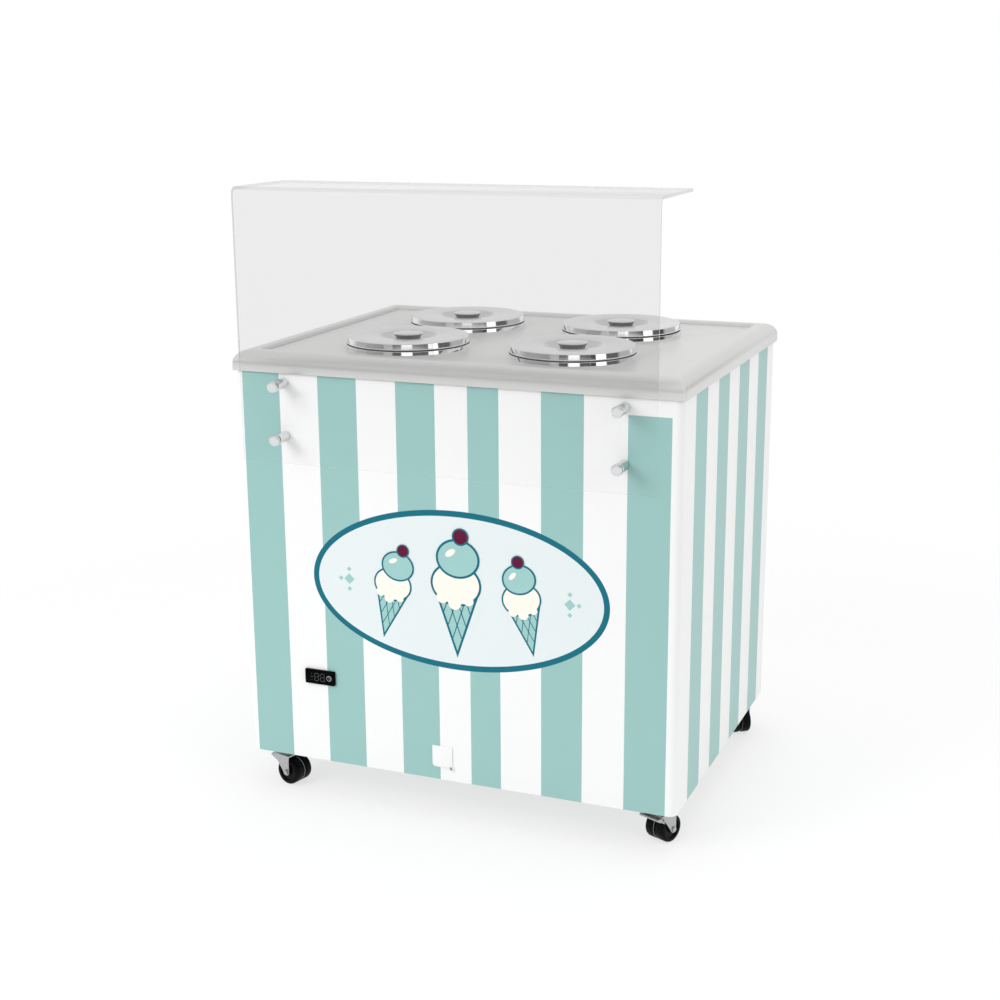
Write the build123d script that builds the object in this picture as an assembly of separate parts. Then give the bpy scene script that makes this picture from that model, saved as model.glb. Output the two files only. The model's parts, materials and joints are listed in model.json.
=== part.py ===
"""Gelato cabinet on casters: four lidded wells in a steel worktop, behind a clear bent guard.

Millimetres, +Z up, +X to the right and +Y to the back when facing the front panel.
The origin is on the floor, under the middle of the overall box.
"""

import os
from math import atan2, cos, hypot, radians, sin

from build123d import *

# Tubs and the wells that hold them
tub_radius = 100.0
tub_wall = 1.5
tub_height = 250.0
tub_base_radius = 8.0
tub_bead = 2.0
tub_bead_height = 4.0
tub_clearance = 5.0
tub_headroom = 14.5
liner_wall = 1.5
collar_width = 18.5
collar_height = 8.0
collar_edge_radius = 2.0
gasket_inset = 4.0
gasket_thickness = 1.5

# Lids and their knobs
lid_lip = 1.0
lid_thickness = 13.0
lid_edge_radius = 1.5
lid_spigot_depth = 14.0
lid_spigot_clearance = 2.0
dish_radius = 56.0
dish_floor_radius = 37.0
dish_depth = 13.5
knob_top_radius = 29.5
knob_foot_radius = 22.0
knob_rise = 3.5
knob_edge_radius = 2.0

# Spacing of the wells, which sets the cabinet's width and depth
lid_gap_x = 100.0
lid_gap_y = 53.0
side_margin = 154.0
end_margin = 77.5

# Cabinet shell
panel_sheet = 1.5
post_sheet = 2.0
post_radius = 15.0
post_flange = 30.0
tray_sheet = 2.0
tray_upstand = 30.0
machine_height = 493.0
deck_sheet = 3.0
bracket_width = 30.0
bracket_drop = 40.0
bracket_sheet = 3.0
foam_floor = 60.0
foam_gap = 0.3
evaporator_wall = 10.0
evaporator_inset = 22.0

# Worktop
worktop_overhang = 5.0
worktop_sheet = 2.0
worktop_edge_radius = 25.0
skirt_height = 38.0
panel_tuck = 12.0
rim_width = 40.0
pan_depth = 6.0
pan_corner_radius = 14.0
pan_hole_clearance = 1.5

# Clear guard and its stand-offs
guard_sheet_thickness = 6.0
guard_bend_radius = 8.0
guard_width = 830.0
guard_rise = 315.0
guard_drop = 205.0
guard_shelf = 197.0
standoff_length = 36.0
standoff_radius = 10.0
standoff_inset = 72.0
standoff_drop = 57.0
standoff_pitch = 104.0
standoff_stud_radius = 3.0
standoff_stud_length = 8.0
cap_radius = 11.0
cap_thickness = 6.0
cap_stud_radius = 4.0
cap_stud_length = 22.0
bolt_clearance = 0.2

# Digital thermostat in the front panel
thermostat_width = 66.0
thermostat_height = 30.0
thermostat_bezel = 5.0
thermostat_from_side = 164.0
thermostat_above_base = 179.0
thermostat_border = 2.5
thermostat_depth = 55.0
cutout_clearance = 0.5
lens_width = 43.0
lens_inset = 4.0
lens_thickness = 1.2
lens_clearance = 0.15
button_radius = 5.5
button_from_end = 12.5
button_length = 3.8
button_proud = 1.0
button_travel = 1.0
button_clearance = 0.1

# Drain outlet and its swinging cover
cover_width = 42.0
cover_height = 44.0
cover_thickness = 2.5
cover_lower_radius = 7.0
cover_from_middle = 22.0
cover_above_base = 49.0
cover_gap = 0.4
cover_lug_radius = 6.0
cover_pivot_inset = 2.0
cover_pin_radius = 2.0
cover_pin_head_radius = 3.2
cover_pin_head = 1.2
cover_pin_tail = 3.0
running_clearance = 0.05
drain_radius = 9.0
drain_wall = 1.5
drain_reach = 80.0
drain_bend = 30.0

# Condensing unit under the wells
compressor_radius = 78.0
compressor_height = 175.0
compressor_dome = 28.0
compressor_from_left = 250.0
compressor_from_front = 420.0
foot_plate_length = 220.0
foot_plate_width = 130.0
foot_plate_thickness = 4.0
mount_radius = 13.0
mount_height = 14.0
mount_inset = 16.0
stub_radius = 9.0
stub_height = 8.0
stub_offset = 30.0
terminal_box_width = 60.0
terminal_box_depth = 26.0
terminal_box_height = 70.0
condenser_width = 300.0
condenser_height = 260.0
condenser_depth = 60.0
condenser_leg = 20.0
condenser_from_right = 250.0
condenser_from_back = 25.0
end_plate_sheet = 2.0
fin_pitch = 12.0
fin_slot = 5.0
fin_slot_depth = 15.0
shroud_sheet = 2.0
fan_radius = 100.0
fan_tip_gap = 5.0
fan_collar_depth = 25.0
fan_collar_wall = 2.0
fan_hub_radius = 20.0
fan_hub_length = 18.0
fan_blade_chord = 42.0
fan_blade_pitch = 25.0
fan_blade_sheet = 2.0
fan_blades = 5
spider_arm_width = 14.0
spider_sheet = 4.0
spider_hub_radius = 38.0
motor_radius = 34.0
motor_length = 50.0
shaft_radius = 4.0
pipe_radius = 5.0
pipe_bend = 20.0
pipe_setback = 14.0
discharge_height = 236.0
liquid_height = 56.0
drier_radius = 14.0
drier_length = 110.0
drier_from_condenser = 60.0
drier_rise = 50.0
drier_cone = 14.0

# Rear panel fittings
vent_rows = 12
vent_columns = 2
vent_pitch = 20.0
vent_slot_height = 7.0
vent_slot_length = 130.0
vent_column_gap = 14.0
screw_rows = 5
screw_end = 40.0
screw_head_radius = 4.0
screw_head = 1.8
screw_shank_radius = 2.0
inlet_width = 50.0
inlet_height = 30.0
inlet_flange = 2.5
inlet_border = 4.0
inlet_depth = 30.0
inlet_from_left = 120.0
inlet_above_base = 100.0
rear_seam = 0.4

# Casters
wheel_radius = 27.5
wheel_width = 45.0
wheel_edge_radius = 4.0
wheel_groove_width = 5.0
wheel_groove_depth = 7.0
wheel_recess_radius = 19.0
wheel_recess_depth = 3.0
wheel_hub_radius = 8.0
wheel_headroom = 25.0
wheel_trail = 20.0
caster_inset = 50.0
caster_plate = 60.0
caster_plate_sheet = 3.0
caster_plate_radius = 6.0
caster_bolt_pitch = 44.0
caster_bolt_radius = 3.0
caster_bolt_head_radius = 5.0
caster_bolt_head = 4.0
caster_bolt_tail = 8.0
race_radius = 17.0
race_height = 13.0
kingpin_radius = 5.0
rivet_radius = 8.0
rivet_height = 1.5
swivel_gap = 0.3
fork_sheet = 2.5
crown_sheet = 3.0
fork_side_gap = 1.0
fork_lead = 14.0
fork_tail = 28.0
axle_boss_radius = 7.0
axle_radius = 3.0
axle_head_radius = 5.0
axle_head = 3.0
pedal_pivot_lead = 6.0
pedal_pivot_drop = 8.7
pedal_pin_radius = 2.0
pedal_hub_radius = 4.5
pedal_length = 15.0
pedal_lift = 5.0
pedal_tip_radius = 2.5
pedal_side_gap = 0.5
pedal_nose_radius = 2.0
pedal_angle = 18.0
brake_gap = 0.5
swivel_angles = {"front_left": -14.0, "front_right": 67.0, "rear_left": 20.0, "rear_right": -55.0}

# Sizes that follow from the ones above
liner_radius = tub_radius + tub_clearance
liner_outer = liner_radius + liner_wall
collar_radius = liner_radius + collar_width
lid_radius = collar_radius - lid_lip
pitch_x = 2 * lid_radius + lid_gap_x
pitch_y = 2 * lid_radius + lid_gap_y
body_width = pitch_x + 2 * collar_radius + 2 * side_margin
body_depth = pitch_y + 2 * collar_radius + 2 * end_margin
half_width = body_width / 2
skin = panel_sheet + post_sheet

# Heights, from the floor up
base_z = 2 * wheel_radius + wheel_headroom
floor_z = base_z + tray_sheet
deck_z = base_z + machine_height
foam_z = deck_z + deck_sheet
liner_z = foam_z + foam_floor
tub_z = liner_z + liner_wall
pan_z = tub_z + tub_height + tub_headroom
collar_z = pan_z + collar_height
lid_z = collar_z + gasket_thickness
lid_top = lid_z + lid_thickness
top_z = pan_z + pan_depth
skirt_z = top_z - skirt_height
panel_top = skirt_z + panel_tuck
guard_top = top_z + guard_rise
guard_bottom = top_z - guard_drop

# Front and back faces, with the origin under the middle of the overall depth
guard_reach = standoff_length + guard_sheet_thickness + cap_thickness
front = (guard_reach - body_depth - worktop_overhang) / 2
back = front + body_depth
middle = (front + back) / 2

corners = {
    "front_left": (-1, -1),
    "front_right": (1, -1),
    "rear_left": (-1, 1),
    "rear_right": (1, 1),
}
wells = {name: (sx * pitch_x / 2, middle + sy * pitch_y / 2) for name, (sx, sy) in corners.items()}
standoffs = [
    (side * (guard_width / 2 - standoff_inset), top_z - standoff_drop - row * standoff_pitch)
    for side in (-1, 1)
    for row in (0, 1)
]


def block(x0, x1, y0, y1, z0, z1):
    """A box between two corners."""
    return Pos((x0 + x1) / 2, (y0 + y1) / 2, (z0 + z1) / 2) * Box(x1 - x0, y1 - y0, z1 - z0)


def rounded_block(width, depth, radius, z0, z1):
    """A box with round upright corners, standing on the cabinet's middle."""
    return Pos(0, middle, z0) * extrude(RectangleRounded(width, depth, radius), z1 - z0)


def upright(x, y, z0, z1, radius):
    """A round bar along Z."""
    return Pos(x, y, (z0 + z1) / 2) * Cylinder(radius, z1 - z0)


def across(x, z, y0, y1, radius):
    """A round bar along Y."""
    return Pos(x, (y0 + y1) / 2, z) * Rot(90, 0, 0) * Cylinder(radius, y1 - y0)


def tube(points, radius, bend):
    """A round bar along straight runs joined by arcs."""
    path = FilletPolyline(*points, radius=bend)
    return sweep(Plane(path @ 0, z_dir=path % 0) * Circle(radius), path)


def save(name, *solids):
    """Writes one node, of one solid or of several that stay apart."""
    shape = solids[0] if len(solids) == 1 else Compound(children=list(solids))
    export_step(shape, f"parts/{name}.step")


os.makedirs("parts", exist_ok=True)


# Base tray, corner posts and deck
tray_width = body_width - 2 * skin
tray_depth = body_depth - 2 * skin
caster_spots = {
    name: (sx * (half_width - caster_inset), middle + sy * (body_depth / 2 - caster_inset))
    for name, (sx, sy) in corners.items()
}
bolt_offsets = [(sx * caster_bolt_pitch / 2, sy * caster_bolt_pitch / 2) for sx, sy in corners.values()]
bolt_spots = [(x + dx, y + dy) for x, y in caster_spots.values() for dx, dy in bolt_offsets]

tray = rounded_block(tray_width, tray_depth, post_radius, base_z, base_z + tray_upstand)
tray -= rounded_block(
    tray_width - 2 * tray_sheet, tray_depth - 2 * tray_sheet, post_radius - tray_sheet,
    floor_z, base_z + tray_upstand,
)
for x, y in bolt_spots:
    tray -= upright(x, y, base_z, floor_z, caster_bolt_radius + bolt_clearance)
save("base_tray", tray)

deck = rounded_block(tray_width, tray_depth, post_radius, deck_z, foam_z)
save("deck_plate", deck)

screw_x = half_width - (post_radius + post_flange) / 2
screw_step = (panel_top - base_z - 2 * screw_end) / (screw_rows - 1)
screw_spots = [
    (side * screw_x, base_z + screw_end + row * screw_step) for side in (-1, 1) for row in range(screw_rows)
]


def post_profile():
    """A rolled corner with a joggled flange along each of its two sides, corner at +X +Y."""
    roll = Circle(post_radius) - Circle(post_radius - skin)
    roll &= Rectangle(post_radius, post_radius, align=(Align.MIN, Align.MIN))
    flange = Pos(0, post_radius - skin) * Rectangle(
        post_flange - post_radius, post_sheet, align=(Align.MAX, Align.MIN)
    )
    return roll + flange + mirror(flange, Plane.XZ.rotated((0, 0, 45)))


posts = []
turns = {"rear_right": 0, "rear_left": 90, "front_left": 180, "front_right": 270}
for name, (sx, sy) in corners.items():
    spot = Pos(sx * (half_width - post_radius), middle + sy * (body_depth / 2 - post_radius), base_z)
    post = spot * Rot(0, 0, turns[name]) * extrude(post_profile(), panel_top - base_z)
    if sy > 0:
        for x, z in screw_spots:
            post -= across(x, z, back - skin, back, screw_shank_radius + bolt_clearance)
    posts.append(post)
save("corner_posts", *posts)

brackets = []
for sx, sy in corners.values():
    edge_x = half_width - skin
    y = middle + sy * (body_depth / 2 - post_radius - bracket_width / 2)
    leg = block(
        edge_x - bracket_sheet, edge_x, y - bracket_width / 2, y + bracket_width / 2,
        deck_z - bracket_drop, deck_z,
    )
    shelf = block(
        edge_x - bracket_drop, edge_x, y - bracket_width / 2, y + bracket_width / 2,
        deck_z - bracket_sheet, deck_z,
    )
    bracket = leg + shelf
    brackets.append(bracket if sx > 0 else mirror(bracket, Plane.YZ))
save("deck_brackets", *brackets)


# Panels
face_half = half_width - post_radius
thermostat_x = thermostat_from_side - half_width
thermostat_z = base_z + thermostat_above_base
case_width = thermostat_width - 2 * thermostat_border
case_height = thermostat_height - 2 * thermostat_border
cover_x = -cover_from_middle
cover_z = base_z + cover_above_base
pivot_x = cover_x + cover_width / 2 - cover_pivot_inset
pivot_z = cover_z - cover_height / 2

front_panel = block(-face_half, face_half, front, front + panel_sheet, base_z, panel_top)
for x, z in standoffs:
    front_panel -= across(x, z, front, front + panel_sheet, standoff_stud_radius + bolt_clearance)
front_panel -= Pos(thermostat_x, front + panel_sheet / 2, thermostat_z) * Box(
    case_width + 2 * cutout_clearance, panel_sheet, case_height + 2 * cutout_clearance
)
front_panel -= across(cover_x, cover_z, front, front + panel_sheet, drain_radius + bolt_clearance)
front_panel -= across(pivot_x, pivot_z, front, front + panel_sheet, cover_pin_radius + bolt_clearance)
save("front_panel", front_panel)

side_half = body_depth / 2 - post_radius
for name, side in (("left_side_panel", -1), ("right_side_panel", 1)):
    inner, outer = sorted((side * (half_width - panel_sheet), side * half_width))
    save(name, block(inner, outer, middle - side_half, middle + side_half, base_z, panel_top))

condenser_x = half_width - condenser_from_right
condenser_z = floor_z + condenser_leg + condenser_height / 2
inlet_x = inlet_from_left - half_width
inlet_z = base_z + inlet_above_base
inlet_body_width = inlet_width - 2 * inlet_border
inlet_body_height = inlet_height - 2 * inlet_border

# Two sheets with a cover strip between them, in two lengths, above and below the inlet
strip_low = inlet_x - inlet_body_width / 2 - cutout_clearance
strip_high = inlet_x + inlet_body_width / 2 + cutout_clearance
strip_split = inlet_body_height / 2 + cutout_clearance
vent_sheet = block(strip_high + rear_seam, face_half, back - panel_sheet, back, base_z, panel_top)
for row in range(vent_rows):
    z = condenser_z + (row - (vent_rows - 1) / 2) * vent_pitch
    for column in range(vent_columns):
        step = vent_slot_length + vent_column_gap
        x = condenser_x + (column - (vent_columns - 1) / 2) * step
        slot = extrude(SlotOverall(vent_slot_length, vent_slot_height), panel_sheet)
        vent_sheet -= Pos(x, back, z) * Rot(90, 0, 0) * slot
rear_sheets = [
    vent_sheet,
    block(-face_half, strip_low - rear_seam, back - panel_sheet, back, base_z, panel_top),
    block(strip_low, strip_high, back - panel_sheet, back, base_z, inlet_z - strip_split),
    block(strip_low, strip_high, back - panel_sheet, back, inlet_z + strip_split, panel_top),
]
rear_spots = screw_spots + [(inlet_x, z) for z in sorted({z for x, z in screw_spots})]
for x, z in rear_spots:
    hole = across(x, z, back - panel_sheet, back, screw_shank_radius + bolt_clearance)
    rear_sheets = [sheet - hole for sheet in rear_sheets]
save("rear_panel", *rear_sheets)

screws = [
    across(x, z, back, back + screw_head, screw_head_radius)
    + across(x, z, back - skin, back, screw_shank_radius)
    for x, z in rear_spots
]
save("rear_panel_screws", *screws)

inlet = Pos(inlet_x, back + inlet_flange / 2, inlet_z) * Box(inlet_width, inlet_flange, inlet_height)
inlet += Pos(inlet_x, back - inlet_depth / 2, inlet_z) * Box(
    inlet_body_width, inlet_depth, inlet_body_height
)
inlet -= Pos(inlet_x, back + inlet_flange - inlet_depth / 4, inlet_z) * Box(
    inlet_body_width - 2 * inlet_border, inlet_depth / 2, inlet_body_height - inlet_border
)
save("power_inlet", inlet)


# Foam, wells and worktop
worktop_width = body_width + 2 * worktop_overhang
worktop_depth = body_depth + 2 * worktop_overhang


def pressed_top(inset):
    """The worktop's outer form, with rolled edges mitred at the corners, moved inwards by a sheet or none."""
    half_x = worktop_width / 2 - inset
    half_y = worktop_depth / 2 - inset
    form = block(-half_x, half_x, middle - half_y, middle + half_y, skirt_z, top_z - inset)
    return fillet(form.edges().group_by(Axis.Z)[-1], worktop_edge_radius - inset)


jacket_inner = liner_outer + foam_gap
jacket_outer = jacket_inner + evaporator_wall
jacket_z = liner_z + evaporator_inset
jacket_top = pan_z - worktop_sheet - evaporator_inset

foam_top = pan_z - worktop_sheet
foam = rounded_block(tray_width, tray_depth, post_radius, skirt_z, foam_top)
foam &= pressed_top(worktop_sheet + foam_gap)
foam += rounded_block(tray_width, tray_depth, post_radius, foam_z, skirt_z)
for x, y in wells.values():
    foam -= upright(x, y, liner_z, foam_top, liner_outer + foam_gap)
    foam -= upright(x, y, jacket_z - foam_gap, jacket_top + foam_gap, jacket_outer + foam_gap)
for x, z in standoffs:
    foam -= across(
        x, z, front + skin, front + standoff_stud_length + foam_gap, standoff_stud_radius + foam_gap
    )
save("insulation_foam", foam)

jackets = [
    upright(x, y, jacket_z, jacket_top, jacket_outer) - upright(x, y, jacket_z, jacket_top, jacket_inner)
    for x, y in wells.values()
]
save("evaporator_jackets", *jackets)


def well_liner(x, y):
    """A deep steel cup that hangs in the worktop by a raised collar."""
    collar = upright(x, y, pan_z, collar_z, collar_radius)
    collar = fillet(collar.edges().group_by(Axis.Z)[-1], collar_edge_radius)
    cup = upright(x, y, liner_z, pan_z, liner_outer)
    return collar + cup - upright(x, y, tub_z, collar_z, liner_radius)


save("well_liners", *[well_liner(x, y) for x, y in wells.values()])

gaskets = [
    upright(x, y, collar_z, lid_z, lid_radius - gasket_inset)
    - upright(x, y, collar_z, lid_z, liner_radius + gasket_inset)
    for x, y in wells.values()
]
save("well_gaskets", *gaskets)

pan_width = worktop_width - 2 * rim_width
pan_length = worktop_depth - 2 * rim_width
pan_outer = rounded_block(
    pan_width + 2 * worktop_sheet, pan_length + 2 * worktop_sheet, pan_corner_radius + worktop_sheet,
    pan_z - worktop_sheet, top_z,
)
pan_inner = rounded_block(pan_width, pan_length, pan_corner_radius, pan_z, top_z)
worktop = pressed_top(0) - pressed_top(worktop_sheet) + pan_outer - pan_inner
for x, y in wells.values():
    worktop -= upright(x, y, pan_z - worktop_sheet, pan_z, liner_outer + pan_hole_clearance)
save("worktop", worktop)


# Tubs, lids and knobs
def tub(x, y):
    """An open round tub with a rolled bead at its rim."""
    outer = upright(x, y, tub_z, tub_z + tub_height, tub_radius)
    outer = fillet(outer.edges().group_by(Axis.Z)[0], tub_base_radius)
    inner = upright(x, y, tub_z + tub_wall, tub_z + tub_height, tub_radius - tub_wall)
    inner = fillet(inner.edges().group_by(Axis.Z)[0], tub_base_radius - tub_wall)
    bead = upright(x, y, tub_z + tub_height - tub_bead_height, tub_z + tub_height, tub_radius + tub_bead)
    return outer + bead - inner


def lid(x, y):
    """A flat lid with a dished middle above and a locating spigot below."""
    plate = upright(x, y, lid_z, lid_top, lid_radius)
    plate = fillet(plate.edges().group_by(Axis.Z)[-1], lid_edge_radius)
    spigot = upright(x, y, lid_z - lid_spigot_depth, lid_z, liner_radius - lid_spigot_clearance)
    dish = Pos(x, y, lid_top - dish_depth / 2) * Cone(dish_floor_radius, dish_radius, dish_depth)
    return plate + spigot - dish


def knob(x, y):
    """A knob that widens upwards from the floor of the dish, so that fingers hook under its edge."""
    height = dish_depth + knob_rise
    body = Pos(x, y, lid_top - dish_depth + height / 2) * Cone(knob_foot_radius, knob_top_radius, height)
    return fillet(body.edges().group_by(Axis.Z)[-1], knob_edge_radius)


for name, (x, y) in wells.items():
    save(f"tub_{name}", tub(x, y))
    save(f"lid_{name}", lid(x, y))
    save(f"lid_knob_{name}", knob(x, y))


# Clear guard on four stand-offs
guard_back = front - standoff_length
guard_front = guard_back - guard_sheet_thickness
shelf_back = guard_front + guard_shelf

guard_half = guard_width / 2
guard = block(-guard_half, guard_half, guard_front, shelf_back, guard_bottom, guard_top)
guard_edges = guard.edges().filter_by(Axis.X).group_by(Axis.Z)[-1]
guard = fillet(guard_edges.sort_by(Axis.Y)[0], guard_bend_radius + guard_sheet_thickness)
hollow = block(
    -guard_half, guard_half, guard_back, shelf_back, guard_bottom, guard_top - guard_sheet_thickness
)
hollow_edges = hollow.edges().filter_by(Axis.X).group_by(Axis.Z)[-1]
guard -= fillet(hollow_edges.sort_by(Axis.Y)[0], guard_bend_radius)
for x, z in standoffs:
    guard -= across(x, z, guard_front, guard_back, cap_stud_radius + bolt_clearance)
save("guard_sheet", guard)

stud_end = guard_front + cap_stud_length
barrels = [
    across(x, z, guard_back, front, standoff_radius)
    + across(x, z, front, front + standoff_stud_length, standoff_stud_radius)
    - across(x, z, guard_back, stud_end + bolt_clearance, cap_stud_radius + bolt_clearance)
    for x, z in standoffs
]
save("standoff_barrels", *barrels)
caps = [
    across(x, z, guard_front - cap_thickness, guard_front, cap_radius)
    + across(x, z, guard_front, stud_end, cap_stud_radius)
    for x, z in standoffs
]
save("standoff_caps", *caps)


# Thermostat
lens_height = thermostat_height - 2 * lens_inset
lens_x = thermostat_x - thermostat_width / 2 + lens_inset + lens_width / 2
button_x = thermostat_x + thermostat_width / 2 - button_from_end
bezel_front = front - thermostat_bezel
button_front = bezel_front - button_proud
button_back = button_front + button_length

case = Pos(thermostat_x, (bezel_front + front) / 2, thermostat_z) * Box(
    thermostat_width, thermostat_bezel, thermostat_height
)
case = fillet(case.edges().filter_by(Axis.Y), thermostat_border)
case += Pos(thermostat_x, front + thermostat_depth / 2, thermostat_z) * Box(
    case_width, thermostat_depth, case_height
)
case -= Pos(lens_x, bezel_front + lens_thickness / 2, thermostat_z) * Box(
    lens_width, lens_thickness, lens_height
)
case -= across(
    button_x, thermostat_z, bezel_front, button_back + button_travel + bolt_clearance,
    button_radius + button_clearance,
)
save("thermostat_case", case)
lens = Pos(lens_x, bezel_front + lens_thickness / 2, thermostat_z) * Box(
    lens_width - 2 * lens_clearance, lens_thickness, lens_height - 2 * lens_clearance
)
save("thermostat_lens", lens)
save("thermostat_button", across(button_x, thermostat_z, button_front, button_back, button_radius))


# Drain outlet
cover_back = front - cover_gap
cover_front = cover_back - cover_thickness
cover = block(
    cover_x - cover_width / 2, cover_x + cover_width / 2, cover_front, cover_back,
    cover_z - cover_height / 2, cover_z + cover_height / 2,
)
cover = fillet(cover.edges().filter_by(Axis.Y).group_by(Axis.Z)[0], cover_lower_radius)
cover += across(pivot_x, pivot_z, cover_front, cover_back, cover_lug_radius)
cover -= across(pivot_x, pivot_z, cover_front, cover_back, cover_pin_radius + running_clearance)
save("drain_cover", cover)

pin_head_back = cover_front - cover_gap
pin = across(pivot_x, pivot_z, pin_head_back - cover_pin_head, pin_head_back, cover_pin_head_radius)
pin += across(pivot_x, pivot_z, pin_head_back, front + cover_pin_tail, cover_pin_radius)
save("drain_cover_pin", pin)

drain_route = [
    (cover_x, front, cover_z),
    (cover_x, front + drain_reach, cover_z),
    (cover_x, front + drain_reach, deck_z),
]
drain = tube(drain_route, drain_radius, drain_bend)
drain -= tube(drain_route, drain_radius - drain_wall, drain_bend)
save("drain_pipe", drain)


# Compressor on rubber mounts
compressor_x = compressor_from_left - half_width
compressor_y = front + compressor_from_front
plate_z = floor_z + mount_height
can_z = plate_z + foot_plate_thickness
can_top = can_z + compressor_height
stub_top = can_top + stub_height

can = upright(compressor_x, compressor_y, can_z, can_top, compressor_radius)
can = fillet(can.edges().group_by(Axis.Z)[-1], compressor_dome)
can += Pos(compressor_x, compressor_y, plate_z + foot_plate_thickness / 2) * Box(
    foot_plate_length, foot_plate_width, foot_plate_thickness
)
can += Pos(
    compressor_x, compressor_y - compressor_radius, can_z + compressor_height / 2
) * Box(terminal_box_width, 2 * terminal_box_depth, terminal_box_height)
for side in (-1, 1):
    can += upright(
        compressor_x + side * stub_offset, compressor_y, can_top - stub_height, stub_top, stub_radius
    )
save("compressor", can)
mounts = [
    upright(
        compressor_x + sx * (foot_plate_length / 2 - mount_inset),
        compressor_y + sy * (foot_plate_width / 2 - mount_inset),
        floor_z, plate_z, mount_radius,
    )
    for sx, sy in corners.values()
]
save("compressor_mounts", *mounts)


# Condenser with its fan
condenser_back = back - panel_sheet - condenser_from_back
condenser_front = condenser_back - condenser_depth
condenser_left = condenser_x - condenser_width / 2
condenser_right = condenser_x + condenser_width / 2
core_z = floor_z + condenser_leg
core_top = core_z + condenser_height

core = block(condenser_left, condenser_right, condenser_front, condenser_back, core_z, core_top)
fin_count = int((condenser_width - fin_pitch) // fin_pitch)
for fin in range(fin_count):
    x = condenser_x + (fin - (fin_count - 1) / 2) * fin_pitch
    core -= block(
        x - fin_slot / 2, x + fin_slot / 2, condenser_back - fin_slot_depth, condenser_back,
        core_z, core_top,
    )
for inner in (condenser_left - end_plate_sheet, condenser_right):
    core += block(inner, inner + end_plate_sheet, condenser_front, condenser_back, floor_z, core_top)
save("condenser", core)

collar_inner = fan_radius + fan_tip_gap
collar_outer = collar_inner + fan_collar_wall
shroud_front = condenser_front - shroud_sheet
mouth = shroud_front - fan_collar_depth
spider_front = mouth - spider_sheet
shroud = block(condenser_left, condenser_right, shroud_front, condenser_front, core_z, core_top)
shroud += across(condenser_x, condenser_z, mouth, shroud_front, collar_outer)
shroud -= across(condenser_x, condenser_z, mouth, condenser_front, collar_inner)
spider = across(condenser_x, condenser_z, spider_front, mouth, spider_hub_radius)
for arm in range(3):
    bar = block(-spider_arm_width / 2, spider_arm_width / 2, spider_front, mouth, 0, collar_outer)
    spider += Pos(condenser_x, 0, condenser_z) * Rot(0, arm * 120, 0) * bar
spider &= across(condenser_x, condenser_z, spider_front, mouth, collar_outer)
shroud += spider - across(condenser_x, condenser_z, spider_front, mouth, shaft_radius + bolt_clearance)
save("fan_shroud", shroud)

hub_front = mouth + (fan_collar_depth + shroud_sheet - fan_hub_length) / 2
hub_back = hub_front + fan_hub_length
motor = across(condenser_x, condenser_z, spider_front - motor_length, spider_front, motor_radius)
motor += across(condenser_x, condenser_z, spider_front, hub_back, shaft_radius)
save("fan_motor", motor)

fan = across(condenser_x, condenser_z, hub_front, hub_back, fan_hub_radius)
hub_middle = (hub_front + hub_back) / 2
for blade in range(fan_blades):
    vane = Pos(0, 0, fan_radius / 2) * Rot(0, 0, fan_blade_pitch) * Box(
        fan_blade_chord, fan_blade_sheet, fan_radius
    )
    fan += Pos(condenser_x, hub_middle, condenser_z) * Rot(0, blade * 360 / fan_blades, 0) * vane
fan &= across(condenser_x, condenser_z, mouth, condenser_front, fan_radius)
fan -= across(condenser_x, condenser_z, hub_front, hub_back, shaft_radius + running_clearance)
save("fan_blade", fan)


# Pipework
discharge_y = condenser_front + pipe_setback
liquid_y = condenser_back - pipe_setback
condenser_port = condenser_left - end_plate_sheet
discharge_x = compressor_x + stub_offset
discharge_z = core_z + discharge_height
discharge = tube(
    [
        (discharge_x, compressor_y, stub_top),
        (discharge_x, compressor_y, discharge_z),
        (discharge_x, discharge_y, discharge_z),
        (condenser_port, discharge_y, discharge_z),
    ],
    pipe_radius,
    pipe_bend,
)
suction = upright(compressor_x - stub_offset, compressor_y, stub_top, deck_z, pipe_radius)
drier_x = condenser_port - drier_from_condenser
liquid_z = core_z + liquid_height
drier_z = liquid_z + drier_rise
drier_top = drier_z + drier_length
outlet = tube(
    [(condenser_port, liquid_y, liquid_z), (drier_x, liquid_y, liquid_z), (drier_x, liquid_y, drier_z)],
    pipe_radius,
    pipe_bend,
)
liquid = upright(drier_x, liquid_y, drier_top, deck_z, pipe_radius)
save("refrigerant_pipes", discharge, suction, outlet, liquid)

drier = upright(drier_x, liquid_y, drier_z + drier_cone, drier_top - drier_cone, drier_radius)
drier += Pos(drier_x, liquid_y, drier_z + drier_cone / 2) * Cone(pipe_radius, drier_radius, drier_cone)
drier += Pos(drier_x, liquid_y, drier_top - drier_cone / 2) * Cone(drier_radius, pipe_radius, drier_cone)
save("filter_drier", drier)


# Casters, each drawn about its swivel axis with the wheel trailing along +X
race_z = base_z - caster_plate_sheet
crown_top = race_z - race_height - swivel_gap
crown_z = crown_top - crown_sheet
rivet_top = crown_z - swivel_gap
fork_half = wheel_width / 2 + fork_side_gap
fork_outer = fork_half + fork_sheet
pedal_x = -pedal_pivot_lead
pedal_z = crown_z - pedal_pivot_drop
side_plane = Plane.XZ

plates = []
for x, y in caster_spots.values():
    plate = extrude(RectangleRounded(caster_plate, caster_plate, caster_plate_radius), caster_plate_sheet)
    plate = Pos(x, y, race_z) * plate
    for dx, dy in bolt_offsets:
        plate -= upright(x + dx, y + dy, race_z, base_z, caster_bolt_radius + bolt_clearance)
    plate += upright(x, y, race_z - race_height, race_z, race_radius)
    plate += upright(x, y, rivet_top, race_z, kingpin_radius)
    plate += upright(x, y, rivet_top - rivet_height, rivet_top, rivet_radius)
    plates.append(plate)
save("caster_plates", *plates)

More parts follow.
